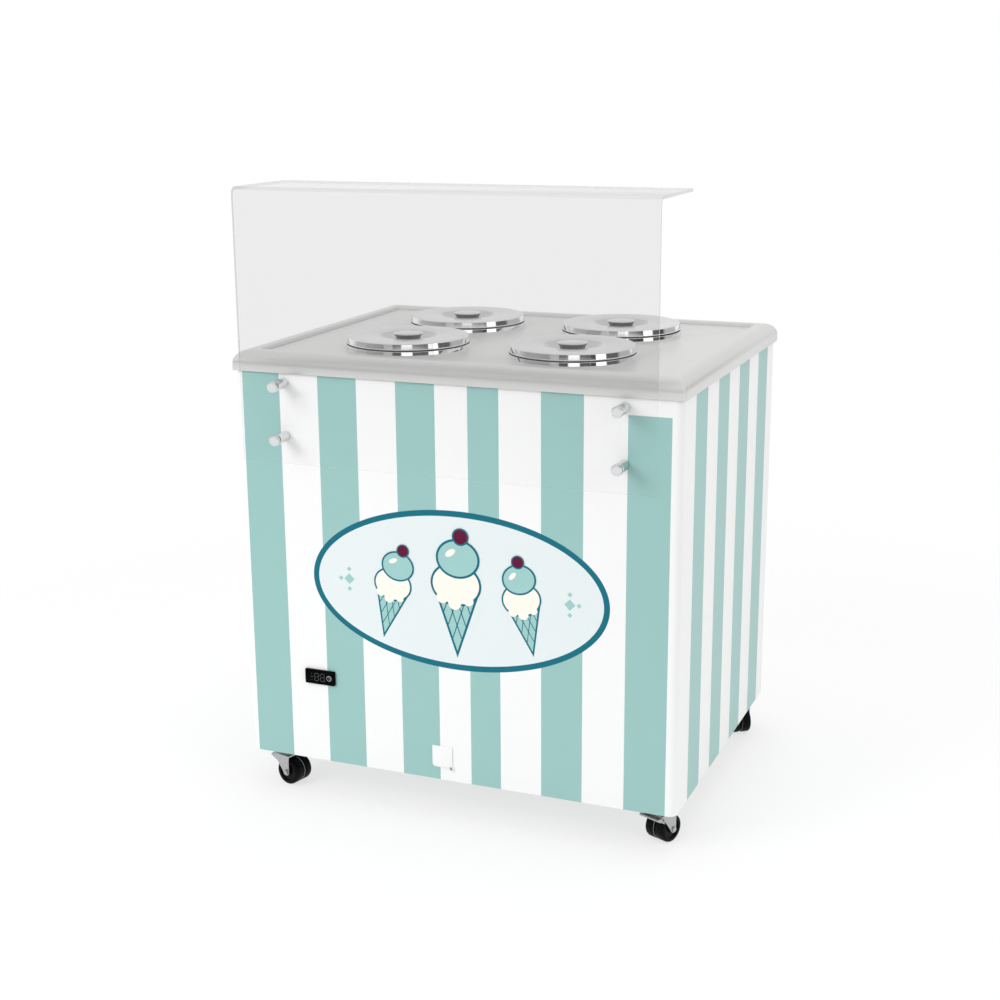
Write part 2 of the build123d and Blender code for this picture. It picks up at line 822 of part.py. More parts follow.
bolts = [
    upright(x, y, race_z, floor_z + caster_bolt_tail, caster_bolt_radius)
    + Pos(x, y, race_z - caster_bolt_head)
    * extrude(RegularPolygon(caster_bolt_head_radius, 6), caster_bolt_head)
    for x, y in bolt_spots
]
save("caster_bolts", *bolts)


def fork(braked):
    """A crown plate with two tapered legs down to the axle."""
    crown_edge = Line((-fork_lead, crown_top), (fork_tail, crown_top))
    boss = Pos(wheel_trail, wheel_radius) * Circle(axle_boss_radius)
    outline = make_hull([crown_edge, *boss.edges()])
    leg = extrude(side_plane * outline, fork_sheet)
    body = Pos(0, -fork_half, 0) * leg + Pos(0, fork_outer, 0) * leg
    body += block(-fork_lead, fork_tail, -fork_outer, fork_outer, crown_z, crown_top)
    body -= upright(0, 0, crown_z, crown_top, kingpin_radius + running_clearance)
    body -= across(wheel_trail, wheel_radius, -fork_outer, fork_outer, axle_radius + running_clearance)
    if braked:
        body -= across(pedal_x, pedal_z, -fork_outer, fork_outer, pedal_pin_radius + running_clearance)
    return body


def wheel():
    """A twin-tread wheel: rounded edges, a groove round the middle, a recess round each end of the hub."""
    half = wheel_width / 2
    body = across(wheel_trail, wheel_radius, -half, half, wheel_radius)
    body = fillet(body.edges(), wheel_edge_radius)
    groove = across(
        wheel_trail, wheel_radius, -wheel_groove_width / 2, wheel_groove_width / 2, wheel_radius
    )
    body -= groove - across(
        wheel_trail, wheel_radius, -half, half, wheel_radius - wheel_groove_depth
    )
    hub = across(wheel_trail, wheel_radius, -half, half, wheel_hub_radius)
    for low, high in ((-half, wheel_recess_depth - half), (half - wheel_recess_depth, half)):
        body -= across(wheel_trail, wheel_radius, low, high, wheel_recess_radius) - hub
    return body - across(wheel_trail, wheel_radius, -half, half, axle_radius + running_clearance)


def axle():
    """A riveted axle with a flat head outside each leg."""
    bar = across(wheel_trail, wheel_radius, -fork_outer, fork_outer, axle_radius)
    bar += across(wheel_trail, wheel_radius, -fork_outer - axle_head, -fork_outer, axle_head_radius)
    return bar + across(wheel_trail, wheel_radius, fork_outer, fork_outer + axle_head, axle_head_radius)


def pedal():
    """A foot lever whose nose turns against the tread when its tip is pressed down."""
    reach_x = wheel_trail - pedal_x
    reach_z = wheel_radius - pedal_z
    nose = hypot(reach_x, reach_z) - wheel_radius - brake_gap - pedal_nose_radius
    nose_angle = atan2(reach_z, reach_x) - radians(pedal_angle)
    hub = Pos(pedal_x, pedal_z) * Circle(pedal_hub_radius)
    tip = Pos(pedal_x - pedal_length, pedal_z + pedal_lift) * Circle(pedal_tip_radius)
    toe_x = pedal_x + nose * cos(nose_angle)
    toe_z = pedal_z + nose * sin(nose_angle)
    toe = Pos(toe_x, toe_z) * Circle(pedal_nose_radius)
    lever = make_hull([*hub.edges(), *tip.edges()]) + make_hull([*hub.edges(), *toe.edges()])
    half = fork_half - pedal_side_gap
    body = Pos(0, half, 0) * extrude(side_plane * lever, 2 * half)
    return body + across(pedal_x, pedal_z, -fork_outer, fork_outer, pedal_pin_radius)


for name, (x, y) in caster_spots.items():
    spot = Pos(x, y, 0) * Rot(0, 0, swivel_angles[name])
    braked = name.startswith("front")
    save(f"caster_fork_{name}", spot * fork(braked))
    save(f"caster_wheel_{name}", spot * wheel())
    save(f"caster_axle_{name}", spot * axle())
    if braked:
        save(f"brake_pedal_{name}", spot * pedal())

print("body", round(body_width, 1), "by", round(body_depth, 1), "worktop height", round(top_z, 1))
print("front face y", front, "lid top", lid_top, "guard top", guard_top)
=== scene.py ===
"""Looks of the gelato cabinet: finishes, detailed pieces, studio and camera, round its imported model."""

import json
import math

import bpy
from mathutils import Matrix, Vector


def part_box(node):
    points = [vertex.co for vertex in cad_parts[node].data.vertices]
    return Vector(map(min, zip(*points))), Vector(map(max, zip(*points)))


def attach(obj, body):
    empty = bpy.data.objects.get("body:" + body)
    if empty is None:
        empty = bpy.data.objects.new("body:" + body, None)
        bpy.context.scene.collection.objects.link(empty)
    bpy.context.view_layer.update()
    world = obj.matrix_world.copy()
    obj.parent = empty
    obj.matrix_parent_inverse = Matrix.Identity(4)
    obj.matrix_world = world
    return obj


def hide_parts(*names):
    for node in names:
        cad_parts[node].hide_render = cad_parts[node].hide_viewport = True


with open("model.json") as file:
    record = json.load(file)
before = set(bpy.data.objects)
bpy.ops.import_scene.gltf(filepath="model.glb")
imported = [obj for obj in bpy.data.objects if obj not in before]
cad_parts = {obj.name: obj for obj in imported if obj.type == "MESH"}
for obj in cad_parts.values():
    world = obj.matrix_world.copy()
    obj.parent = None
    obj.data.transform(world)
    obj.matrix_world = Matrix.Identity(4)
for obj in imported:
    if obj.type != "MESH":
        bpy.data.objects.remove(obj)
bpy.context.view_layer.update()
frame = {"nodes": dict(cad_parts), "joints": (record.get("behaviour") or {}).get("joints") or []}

MM = 0.001
CORNERS = ("front_left", "front_right", "rear_left", "rear_right")
ALONG_Y = (0, 1, 0)
# Points of a mesh that are closer than this are merged
WELD = 0.001 * MM
# Sockets of a Mix node that blends colours, and the range in which most noise values lie
MIX_FACTOR, MIX_A, MIX_B, MIX_RESULT = 0, 6, 7, 2
NOISE_LOW, NOISE_HIGH = 0.3, 0.7

# Places read from the frame
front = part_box("front_panel")[0].y
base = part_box("front_panel")[0].z
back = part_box("rear_panel")[1].y
worktop_low, worktop_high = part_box("worktop")
middle = (worktop_low.y + worktop_high.y) / 2
joints = {joint["name"]: joint for joint in frame["joints"]}


def middle_of(node):
    """The middle of a CAD node's box."""
    low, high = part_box(node)
    return (low + high) / 2


# Stripes printed on the panels, in mm: from the middle on the front, from the front face on the sides
FRONT_STRIPES = ((-440, -354), (-271, -189), (-107, -27), (39, 101), (184, 266), (349, 430))
SIDE_STRIPES = ((82, 162), (241, 321), (399, 479), (556, 636))
LAST_STRIPE_TOP = base / MM + 758


# Finishes
def colour(code):
    """Turns an sRGB hex value into linear red, green, blue and alpha."""
    parts = [int(code[i:i + 2], 16) / 255 for i in (1, 3, 5)]
    return (*[p / 12.92 if p <= 0.04045 else ((p + 0.055) / 1.055) ** 2.4 for p in parts], 1.0)


def add(tree, kind, inputs=None, **settings):
    """Adds a node, with its settings, and sets or links its inputs."""
    node = tree.nodes.new(kind)
    for name, value in settings.items():
        setattr(node, name, value)
    for name, value in (inputs or {}).items():
        if isinstance(value, bpy.types.NodeSocket):
            tree.links.new(value, node.inputs[name])
        else:
            node.inputs[name].default_value = value
    return node


def finish(name, sockets):
    """Starts a material and returns it with its node tree and its shader."""
    material = bpy.data.materials.new(name)
    material.use_nodes = True
    shader = material.node_tree.nodes["Principled BSDF"]
    for socket, value in sockets.items():
        shader.inputs[socket].default_value = value
    return material, material.node_tree, shader


def grain(tree, size):
    """Object coordinates divided by a grain's length, width and height in millimetres."""
    place = add(tree, "ShaderNodeTexCoord")
    scale = [1 / (s * MM) for s in size]
    mapping = add(tree, "ShaderNodeMapping", {"Vector": place.outputs["Object"], "Scale": scale})
    return mapping.outputs["Vector"]


def mottle(tree, shader, vector, roughness, height, detail=3.0):
    """One noise pattern moves the roughness between two values and lifts the surface by a height in mm."""
    noise = add(tree, "ShaderNodeTexNoise", {"Vector": vector, "Scale": 1.0, "Detail": detail})
    rough = add(tree, "ShaderNodeMapRange", {
        "Value": noise.outputs["Fac"], "From Min": NOISE_LOW, "From Max": NOISE_HIGH,
        "To Min": roughness[0], "To Max": roughness[1],
    })
    tree.links.new(rough.outputs["Result"], shader.inputs["Roughness"])
    bump = add(tree, "ShaderNodeBump", {"Height": noise.outputs["Fac"], "Distance": height * MM})
    tree.links.new(bump.outputs["Normal"], shader.inputs["Normal"])
    return noise.outputs["Fac"]


def tint(tree, shader, factor, low, high):
    """Blends the base colour between two hex values by a pattern."""
    inputs = {MIX_FACTOR: factor, MIX_A: colour(low), MIX_B: colour(high)}
    mix = add(tree, "ShaderNodeMix", inputs, data_type="RGBA")
    tree.links.new(mix.outputs[MIX_RESULT], shader.inputs["Base Color"])


def white_enamel(name="White_stove_enamel"):
    """Stoved enamel on steel sheet: bright white, half gloss, with a faint orange peel about 3 mm across."""
    material, tree, shader = finish(name, {"IOR": 1.5, "Specular IOR Level": 0.3})
    pattern = mottle(tree, shader, grain(tree, (3, 3, 3)), (0.30, 0.38), 0.012)
    tint(tree, shader, pattern, "#F6F6F6", "#F9F9F9")
    return material


def striped_enamel(name, axis, stripes, zero, short_last=None):
    """White enamel with pale teal vinyl bands printed to sharp edges."""
    material = white_enamel(name)
    tree = material.node_tree
    shader = tree.nodes["Principled BSDF"]
    place = add(tree, "ShaderNodeTexCoord")
    axes = add(tree, "ShaderNodeSeparateXYZ", {"Vector": place.outputs["Object"]})
    total = None
    for low, high in stripes:
        centre = zero + (low + high) / 2 * MM
        inputs = {0: axes.outputs[axis], 1: centre, 2: (high - low) / 2 * MM}
        band = add(tree, "ShaderNodeMath", inputs, operation="COMPARE").outputs[0]
        if short_last and (low, high) == stripes[-1]:
            inputs = {0: axes.outputs["Z"], 1: short_last * MM}
            below = add(tree, "ShaderNodeMath", inputs, operation="LESS_THAN").outputs[0]
            band = add(tree, "ShaderNodeMath", {0: band, 1: below}, operation="MULTIPLY").outputs[0]
        if total:
            band = add(tree, "ShaderNodeMath", {0: total, 1: band}, operation="ADD").outputs[0]
        total = band
    white = shader.inputs["Base Color"].links[0].from_socket
    inputs = {MIX_FACTOR: total, MIX_A: white, MIX_B: colour("#9CC6C2")}
    mix = add(tree, "ShaderNodeMix", inputs, data_type="RGBA")
    tree.links.new(mix.outputs[MIX_RESULT], shader.inputs["Base Color"])
    return material


def brushed_stainless(name, low, high):
    """Stainless sheet, brushed and bead-blasted to a satin that scatters light: streaks 3 mm by 200 mm."""
    material, tree, shader = finish(name, {"Metallic": 0.75})
    pattern = mottle(tree, shader, grain(tree, (200, 3, 3)), (0.30, 0.38), 0.0006, detail=2.0)
    tint(tree, shader, pattern, low, high)
    return material


def radius_from_wells(tree):
    """Distance from the nearest well's axis, by folding the four wells onto one."""
    well = middle_of("lid_rear_right")
    place = add(tree, "ShaderNodeTexCoord")
    axes = add(tree, "ShaderNodeSeparateXYZ", {"Vector": place.outputs["Object"]})
    shifted = add(tree, "ShaderNodeMath", {0: axes.outputs["Y"], 1: middle}, operation="SUBTRACT").outputs[0]
    squares = []
    for value, centre in ((axes.outputs["X"], well.x), (shifted, well.y - middle)):
        folded = add(tree, "ShaderNodeMath", {0: value}, operation="ABSOLUTE").outputs[0]
        offset = add(tree, "ShaderNodeMath", {0: folded, 1: centre}, operation="SUBTRACT").outputs[0]
        squares.append(add(tree, "ShaderNodeMath", {0: offset, 1: 2.0}, operation="POWER").outputs[0])
    total = add(tree, "ShaderNodeMath", {0: squares[0], 1: squares[1]}, operation="ADD").outputs[0]
    return add(tree, "ShaderNodeMath", {0: total}, operation="SQRT").outputs[0]


def turned_stainless():
    """Stainless spun and polished on a lathe: fine rings, drawn 2.5 mm apart so that they show."""
    material, tree, shader = finish("Turned_stainless", {"Metallic": 1.0})
    inputs = {0: radius_from_wells(tree), 1: 1 / (2.5 * MM)}
    rings = add(tree, "ShaderNodeMath", inputs, operation="MULTIPLY").outputs[0]
    vector = add(tree, "ShaderNodeCombineXYZ", {"X": rings}).outputs["Vector"]
    pattern = mottle(tree, shader, vector, (0.16, 0.24), 0.002)
    tint(tree, shader, pattern, "#CECECE", "#D8D8D8")
    return material


def mirror_plate(name, base_colour):
    """Steel buffed to a mirror or plated: clear reflections with a trace of polishing haze."""
    material, tree, shader = finish(name, {"Base Color": colour(base_colour), "Metallic": 1.0})
    mottle(tree, shader, grain(tree, (12, 12, 12)), (0.02, 0.045), 0.001)
    return material


def zinc_plate():
    """Bright zinc plating on pressed steel: grey metal with soft patches of haze."""
    material, tree, shader = finish("Zinc_plated_steel", {"Metallic": 1.0})
    pattern = mottle(tree, shader, grain(tree, (2.5, 2.5, 2.5)), (0.24, 0.42), 0.012)
    tint(tree, shader, pattern, "#9A9B9C", "#D0D1D2")
    return material


def galvanised_sheet():
    """Hot-dip galvanised sheet: flat crystal spangles about 9 mm across, each a slightly different grey."""
    material, tree, shader = finish("Galvanised_sheet", {"Metallic": 1.0})
    cells = add(tree, "ShaderNodeTexVoronoi", {"Vector": grain(tree, (9, 9, 9)), "Scale": 1.0})
    spangle = add(tree, "ShaderNodeSeparateColor", {"Color": cells.outputs["Color"]}).outputs["Red"]
    rough = add(tree, "ShaderNodeMapRange", {"Value": spangle, "To Min": 0.32, "To Max": 0.5})
    tree.links.new(rough.outputs["Result"], shader.inputs["Roughness"])
    tint(tree, shader, spangle, "#9DA1A3", "#B5B9BB")
    return material


def clear_acrylic(name, base_colour, least, most, roughness=0.03, low_share=1.0):
    """Cast acrylic sheet: nearly see-through face on, heavier at a slant, and clearest close to the panel."""
    sockets = {"Base Color": colour(base_colour), "Roughness": roughness, "IOR": 1.49}
    material, tree, shader = finish(name, sockets)
    slant = add(tree, "ShaderNodeLayerWeight", {"Blend": 0.35}).outputs["Facing"]
    sharp = add(tree, "ShaderNodeMath", {0: slant, 1: 2.5}, operation="POWER").outputs[0]
    weight = add(tree, "ShaderNodeMapRange", {"Value": sharp, "To Min": least, "To Max": most})
    place = add(tree, "ShaderNodeTexCoord")
    axes = add(tree, "ShaderNodeSeparateXYZ", {"Vector": place.outputs["Object"]})
    share = add(tree, "ShaderNodeMapRange", {
        "Value": axes.outputs["Z"], "From Min": worktop_low.z, "From Max": worktop_high.z,
        "To Min": low_share, "To Max": 1.0,
    }, interpolation_type="SMOOTHSTEP").outputs["Result"]
    inputs = {0: weight.outputs["Result"], 1: share}
    alpha = add(tree, "ShaderNodeMath", inputs, operation="MULTIPLY")
    tree.links.new(alpha.outputs[0], shader.inputs["Alpha"])
    return material


def turned_aluminium():
    """Aluminium bar turned on a lathe and left bright: fine rings 0.6 mm apart along the bar."""
    material, tree, shader = finish("Turned_aluminium", {"Metallic": 1.0})
    pattern = mottle(tree, shader, grain(tree, (200, 0.6, 200)), (0.16, 0.28), 0.003)
    tint(tree, shader, pattern, "#D8D9DA", "#E8E9EA")
    return material


def moulded_plastic(name, low, high, roughness, size=0.8, gloss=0.5):
    """Injection-moulded ABS or nylon: an even colour with the fine spark texture of its mould."""
    material, tree, shader = finish(name, {"IOR": 1.53, "Specular IOR Level": gloss})
    pattern = mottle(tree, shader, grain(tree, (size, size, size)), roughness, 0.015)
    tint(tree, shader, pattern, low, high)
    return material


def painted_casting():
    """Semi-gloss black enamel sprayed on a pressed shell, with light runs and specks."""
    material, tree, shader = finish("Black_enamel", {"IOR": 1.5, "Coat Weight": 0.2, "Coat Roughness": 0.2})
    pattern = mottle(tree, shader, grain(tree, (6, 6, 6)), (0.3, 0.45), 0.03)
    tint(tree, shader, pattern, "#1D1E20", "#28292B")
    return material


def foam_skin():
    """Poured polyurethane foam: cream, dull, with cells a few millimetres across."""
    material, tree, shader = finish("Polyurethane_foam", {"Roughness": 0.9})
    cells = add(tree, "ShaderNodeTexVoronoi", {"Vector": grain(tree, (4, 4, 4)), "Scale": 1.0})
    bump = add(tree, "ShaderNodeBump", {"Height": cells.outputs["Distance"], "Distance": 0.4 * MM})
    tree.links.new(bump.outputs["Normal"], shader.inputs["Normal"])
    tint(tree, shader, cells.outputs["Distance"], "#E9DDB4", "#D9C894")
    return material


def copper_tube():
    """Drawn copper tube: warm metal, with brown tarnish in patches."""
    material, tree, shader = finish("Drawn_copper", {"Metallic": 1.0})
    pattern = mottle(tree, shader, grain(tree, (14, 14, 14)), (0.22, 0.4), 0.006)
    tint(tree, shader, pattern, "#A8623F", "#D08A63")
    return material


def fin_stock():
    """Aluminium fin stock: thin bright blades, dulled by handling."""
    material, tree, shader = finish("Aluminium_fins", {"Metallic": 1.0})
    pattern = mottle(tree, shader, grain(tree, (2, 30, 30)), (0.35, 0.5), 0.01)
    tint(tree, shader, pattern, "#B4B8BA", "#CDD0D2")
    return material


def printed_vinyl(name, low, high):
    """Printed self-adhesive vinyl: flat ink under a satin film with a very fine leather grain."""
    material, tree, shader = finish(name, {"IOR": 1.5, "Specular IOR Level": 0.2})
    pattern = mottle(tree, shader, grain(tree, (1.5, 1.5, 1.5)), (0.36, 0.46), 0.006)
    tint(tree, shader, pattern, low, high)
    return material


ENAMEL = white_enamel()
STRIPED_FRONT = striped_enamel("White_enamel_front_bands", "X", FRONT_STRIPES, 0.0, LAST_STRIPE_TOP)
STRIPED_SIDE = striped_enamel("White_enamel_side_bands", "Y", SIDE_STRIPES, front)
STAINLESS = brushed_stainless("Satin_stainless", "#D6D6D5", "#DCDCDB")
# A darker copy of the satin stainless, painted into the pan's fold as shade in the crease
FOLD_SHADE_STAINLESS = brushed_stainless("Stainless_fold_painted_shade", "#7C7C7C", "#888888")
TURNED = turned_stainless()
MIRROR = mirror_plate("Mirror_polished_steel", "#F0F0F0")
# A darker copy of the mirror steel, painted on the knob's waist as shade
SHADED_CHROME = mirror_plate("Chrome_painted_shade", "#5C5C5E")
ZINC = zinc_plate()
GALVANISED = galvanised_sheet()
ACRYLIC = clear_acrylic("Clear_acrylic", "#8C8C8C", 0.12, 0.6, low_share=0.12)
ACRYLIC_EDGE = clear_acrylic("Polished_acrylic_edge", "#C2C4C4", 0.5, 0.85, low_share=0.3)
ALUMINIUM = turned_aluminium()
BLACK_ABS = moulded_plastic("Black_ABS", "#040405", "#070708", (0.34, 0.46), gloss=0.03)
SMOKED = moulded_plastic("Smoked_acrylic_window", "#020202", "#030303", (0.05, 0.09), 20, gloss=0.03)
GHOST = moulded_plastic("Unlit_display_segments", "#505254", "#585A5C", (0.3, 0.4), gloss=0.05)
# Grey plastic of the button's ring, also painted on the lips of the wheels' groove as a highlight
GREY_ABS_AND_GROOVE_HIGHLIGHT = moulded_plastic("Grey_ABS_and_painted_highlight", "#A3A6A8", "#AFB2B4", (0.32, 0.42))
WHITE_ABS = moulded_plastic("White_ABS", "#F4F4F4", "#F8F8F8", (0.3, 0.4), gloss=0.3)
TREAD = moulded_plastic("Black_rubber_tread", "#040405", "#09090A", (0.3, 0.55), 1.5, gloss=0.08)
CORE = moulded_plastic("Black_nylon_core", "#050506", "#0A0A0B", (0.25, 0.4), 1.2, gloss=0.1)
SEAL = moulded_plastic("Black_nitrile_seal", "#060607", "#0B0B0C", (0.6, 0.8), 1.5, gloss=0.1)
BLACK_ENAMEL = painted_casting()
FOAM = foam_skin()
COPPER = copper_tube()
FINS = fin_stock()
DEEP_TEAL = printed_vinyl("Vinyl_deep_teal", "#086C7F", "#0B7284")
MINT = printed_vinyl("Vinyl_pale_mint", "#E6EFF0", "#EAF1F2")
SOFT_TEAL = printed_vinyl("Vinyl_soft_teal", "#9CCBC8", "#A6D2CF")
CREAM = printed_vinyl("Vinyl_cream", "#FBF6EA", "#FFFBF1")
BERRY = printed_vinyl("Vinyl_berry", "#5C0531", "#660A39")

NODE_FINISHES = {
    "base_tray": GALVANISED, "corner_posts": ENAMEL, "front_panel": STRIPED_FRONT,
    "left_side_panel": STRIPED_SIDE, "right_side_panel": STRIPED_SIDE, "rear_panel": ENAMEL,
    "insulation_foam": FOAM, "deck_plate": GALVANISED, "deck_brackets": GALVANISED, "well_gaskets": SEAL,
    "evaporator_jackets": COPPER, "compressor": BLACK_ENAMEL, "compressor_mounts": SEAL, "condenser": FINS,
    "fan_shroud": GALVANISED, "fan_motor": BLACK_ENAMEL, "filter_drier": COPPER, "refrigerant_pipes": COPPER,
    "drain_pipe": WHITE_ABS, "fan_blade": BLACK_ABS,
}
for node, material in NODE_FINISHES.items():
    slots = frame["nodes"][node].data.materials
    slots.clear()
    slots.append(material)


# Modelling steps
def clear_selection():
    """Leaves edit mode and selects nothing."""
    if bpy.context.object and bpy.context.object.mode != "OBJECT":
        bpy.ops.object.mode_set(mode="OBJECT")
    bpy.ops.object.select_all(action="DESELECT")


def take(piece):
    """Makes a piece the only one selected."""
    clear_selection()
    piece.select_set(True)
    bpy.context.view_layer.objects.active = piece
    return piece


def settle(piece):
    """Puts a piece's place, turn and scale into its mesh."""
    take(piece)
    bpy.ops.object.transform_apply(location=True, rotation=True, scale=True)
    return piece


def block(low, high):
    """A box between two corners."""
    low, high = Vector(low), Vector(high)
    clear_selection()
    bpy.ops.mesh.primitive_cube_add(size=1, location=(low + high) / 2)
    piece = bpy.context.object
    piece.scale = high - low
    return settle(piece)


def bar(radius, start, end, sides=64):
    """A round bar from one point to another."""
    start, end = Vector(start), Vector(end)
    clear_selection()
    bpy.ops.mesh.primitive_cylinder_add(
        vertices=sides, radius=radius, depth=(end - start).length, location=(start + end) / 2
    )
    piece = bpy.context.object
    piece.rotation_mode = "QUATERNION"
    piece.rotation_quaternion = Vector((0, 0, 1)).rotation_difference(end - start)
    return settle(piece)


def edit(kind):
    """Enters edit mode, to choose points, edges or faces."""
    bpy.ops.object.mode_set(mode="EDIT")
    bpy.ops.mesh.select_mode(type=kind)


def chain(points):
    """A line through points, left in edit mode with all of it selected."""
    clear_selection()
    bpy.ops.mesh.primitive_plane_add(size=MM, location=points[0])
    edit("VERT")
    bpy.ops.mesh.select_all(action="SELECT")
    bpy.ops.mesh.merge(type="CENTER")
    for here, there in zip(points, points[1:]):
        bpy.ops.mesh.extrude_vertices_move(TRANSFORM_OT_translate={"value": there - here})
    bpy.ops.mesh.select_all(action="SELECT")
    return bpy.context.object


def turned(outline, centre, axis=(0, 0, 1), steps=96):
    """Spins (radius, height) points, in millimetres, round an axis through a centre."""
    axis, centre = Vector(axis), Vector(centre)
    piece = chain([centre + Vector((r * MM, 0, 0)) + axis * h * MM for r, h in outline])
    bpy.ops.mesh.spin(steps=steps, angle=math.tau, center=centre, axis=axis)
    bpy.ops.mesh.select_all(action="SELECT")
    bpy.ops.mesh.remove_doubles(threshold=WELD)
    bpy.ops.mesh.normals_make_consistent(inside=False)
    bpy.ops.object.mode_set(mode="OBJECT")
    return settle(piece)


def pick_edges(piece, test):
    """Enters edit mode with those edges selected whose two ends pass a test."""
    take(piece)
    edit("EDGE")
    bpy.ops.mesh.select_all(action="DESELECT")
    bpy.ops.object.mode_set(mode="OBJECT")
    points = piece.data.vertices
    for edge in piece.data.edges:
        a, b = edge.vertices
        edge.select = test(points[a].co, points[b].co)
    bpy.ops.object.mode_set(mode="EDIT")


def round_edges(piece, radius, test, segments=8):
    """Rounds chosen edges to a radius."""
    pick_edges(piece, test)
    bpy.ops.mesh.bevel(offset=radius, segments=segments, affect="EDGES", clamp_overlap=True)
    bpy.ops.object.mode_set(mode="OBJECT")
    return piece


def apply_modifiers(piece):
    """Applies every modifier of a piece, in order."""
    take(piece)
    for modifier in list(piece.modifiers):
        bpy.ops.object.modifier_apply(modifier=modifier.name)
    return piece


def soften(piece, width, segments=2, angle=32):
    """Rounds all sharp edges by a width and shades the rest smooth."""
    if width:
        rounding = piece.modifiers.new("Rounding", "BEVEL")
        rounding.width = width
        rounding.segments = segments
        rounding.limit_method = "ANGLE"
        rounding.angle_limit = math.radians(angle)
        apply_modifiers(piece)
    take(piece)
    bpy.ops.object.shade_smooth_by_angle(angle=math.radians(angle), keep_sharp_edges=False)
    return piece


def cut(piece, *cutters):
    """Takes other shapes out of a piece."""
    for cutter in cutters:
        difference = piece.modifiers.new("Cut", "BOOLEAN")
        difference.object = cutter
        apply_modifiers(piece)
        bpy.data.objects.remove(cutter)
    return piece


def copy_of(piece, shift=(0, 0, 0)):
    """A copy with its own mesh, moved by a shift."""
    take(piece)
    bpy.ops.object.duplicate()
    twin = bpy.context.object
    twin.location = shift
    return settle(twin)


def join(pieces):
    """Makes one mesh of several."""
    clear_selection()
    for piece in pieces:
        piece.select_set(True)
    bpy.context.view_layer.objects.active = pieces[0]
    bpy.ops.object.join()
    return bpy.context.object


def from_solid(node, width, segments=2):
    """A copy of a CAD solid with its triangles joined into clean faces and its edges rounded."""
    piece = bpy.data.objects.new(node, frame["nodes"][node].data.copy())
    bpy.context.scene.collection.objects.link(piece)
    piece.data.materials.clear()
    take(piece)
    bpy.ops.mesh.customdata_custom_splitnormals_clear()
    edit("VERT")
    bpy.ops.mesh.select_all(action="SELECT")
    bpy.ops.mesh.remove_doubles(threshold=WELD)
    bpy.ops.mesh.dissolve_limited(angle_limit=math.radians(0.5))
    bpy.ops.object.mode_set(mode="OBJECT")
    return soften(piece, width, segments)


def mount(piece, name, body, materials, stands_for=()):
    """Names a piece, gives it its finishes and lets it ride on a body."""
    piece.name = name
    piece.data.name = name
    for material in materials:
        piece.data.materials.append(material)
    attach(piece, body)
    if stands_for:
        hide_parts(*stands_for)
    return piece


def dress(node, ease, name, body, material, segments=2):
    """Lets a cleaned copy of a solid stand for it, with its edges eased by so many millimetres."""
    return mount(from_solid(node, ease * MM, segments), name, body, [material], [node])


def paint_faces(piece, index, test):
    """Gives faces whose middle and normal pass a test another of the piece's finishes."""
    for face in piece.data.polygons:
        if test(face.center, face.normal):
            face.material_index = index


# Worktop: a pressed steel top with a broad rolled edge, mitred at the corners, round a shallow pan
PAN_DEPTH = 6 * MM
PAN_FLOOR = worktop_high.z - PAN_DEPTH
STEEL = 2 * MM
WELL_HOLE = 108 * MM


def rolled_block(low, high, roll, corner):
    """A box with its top edges rolled over to mitres, which are eased as the upright edges are."""
    piece = block(low, high)
    round_edges(piece, roll, lambda a, b: min(a.z, b.z) > high.z - 0.1 * MM, 12)
    centre, half = (low + high) / 2, (high - low) / 2
    reach = max(high.z - low.z, roll)

    def on_mitre(point):
        depth_x, depth_y = (half[i] - abs(point[i] - centre[i]) for i in (0, 1))
        return abs(depth_x - depth_y) < 0.3 * MM and depth_x < roll - 0.1 * MM

    def along_mitre(a, b):
        return (a - b).length < reach and on_mitre(a) and on_mitre(b)

    return round_edges(piece, corner, along_mitre, 4)


def pan_frame(outer, inner, corner):
    """A thin frame sunk in the pan's floor, between two distances from the worktop's edges."""
    sides = []
    for inset, reach in ((outer, 1.5 * MM), (inner, 3 * MM)):
        shift = Vector((inset, inset, 0))
        low, high = worktop_low + shift, worktop_high - shift
        low.z, high.z = PAN_FLOOR - reach, PAN_FLOOR + reach
        sides.append(round_edges(block(low, high), corner, lambda a, b: abs(a.z - b.z) > MM))
    return cut(*sides)


def edge_distance(point):
    """How far in from the worktop's nearest side a point lies."""
    return min(min((point - worktop_low).xy), min((worktop_high - point).xy))


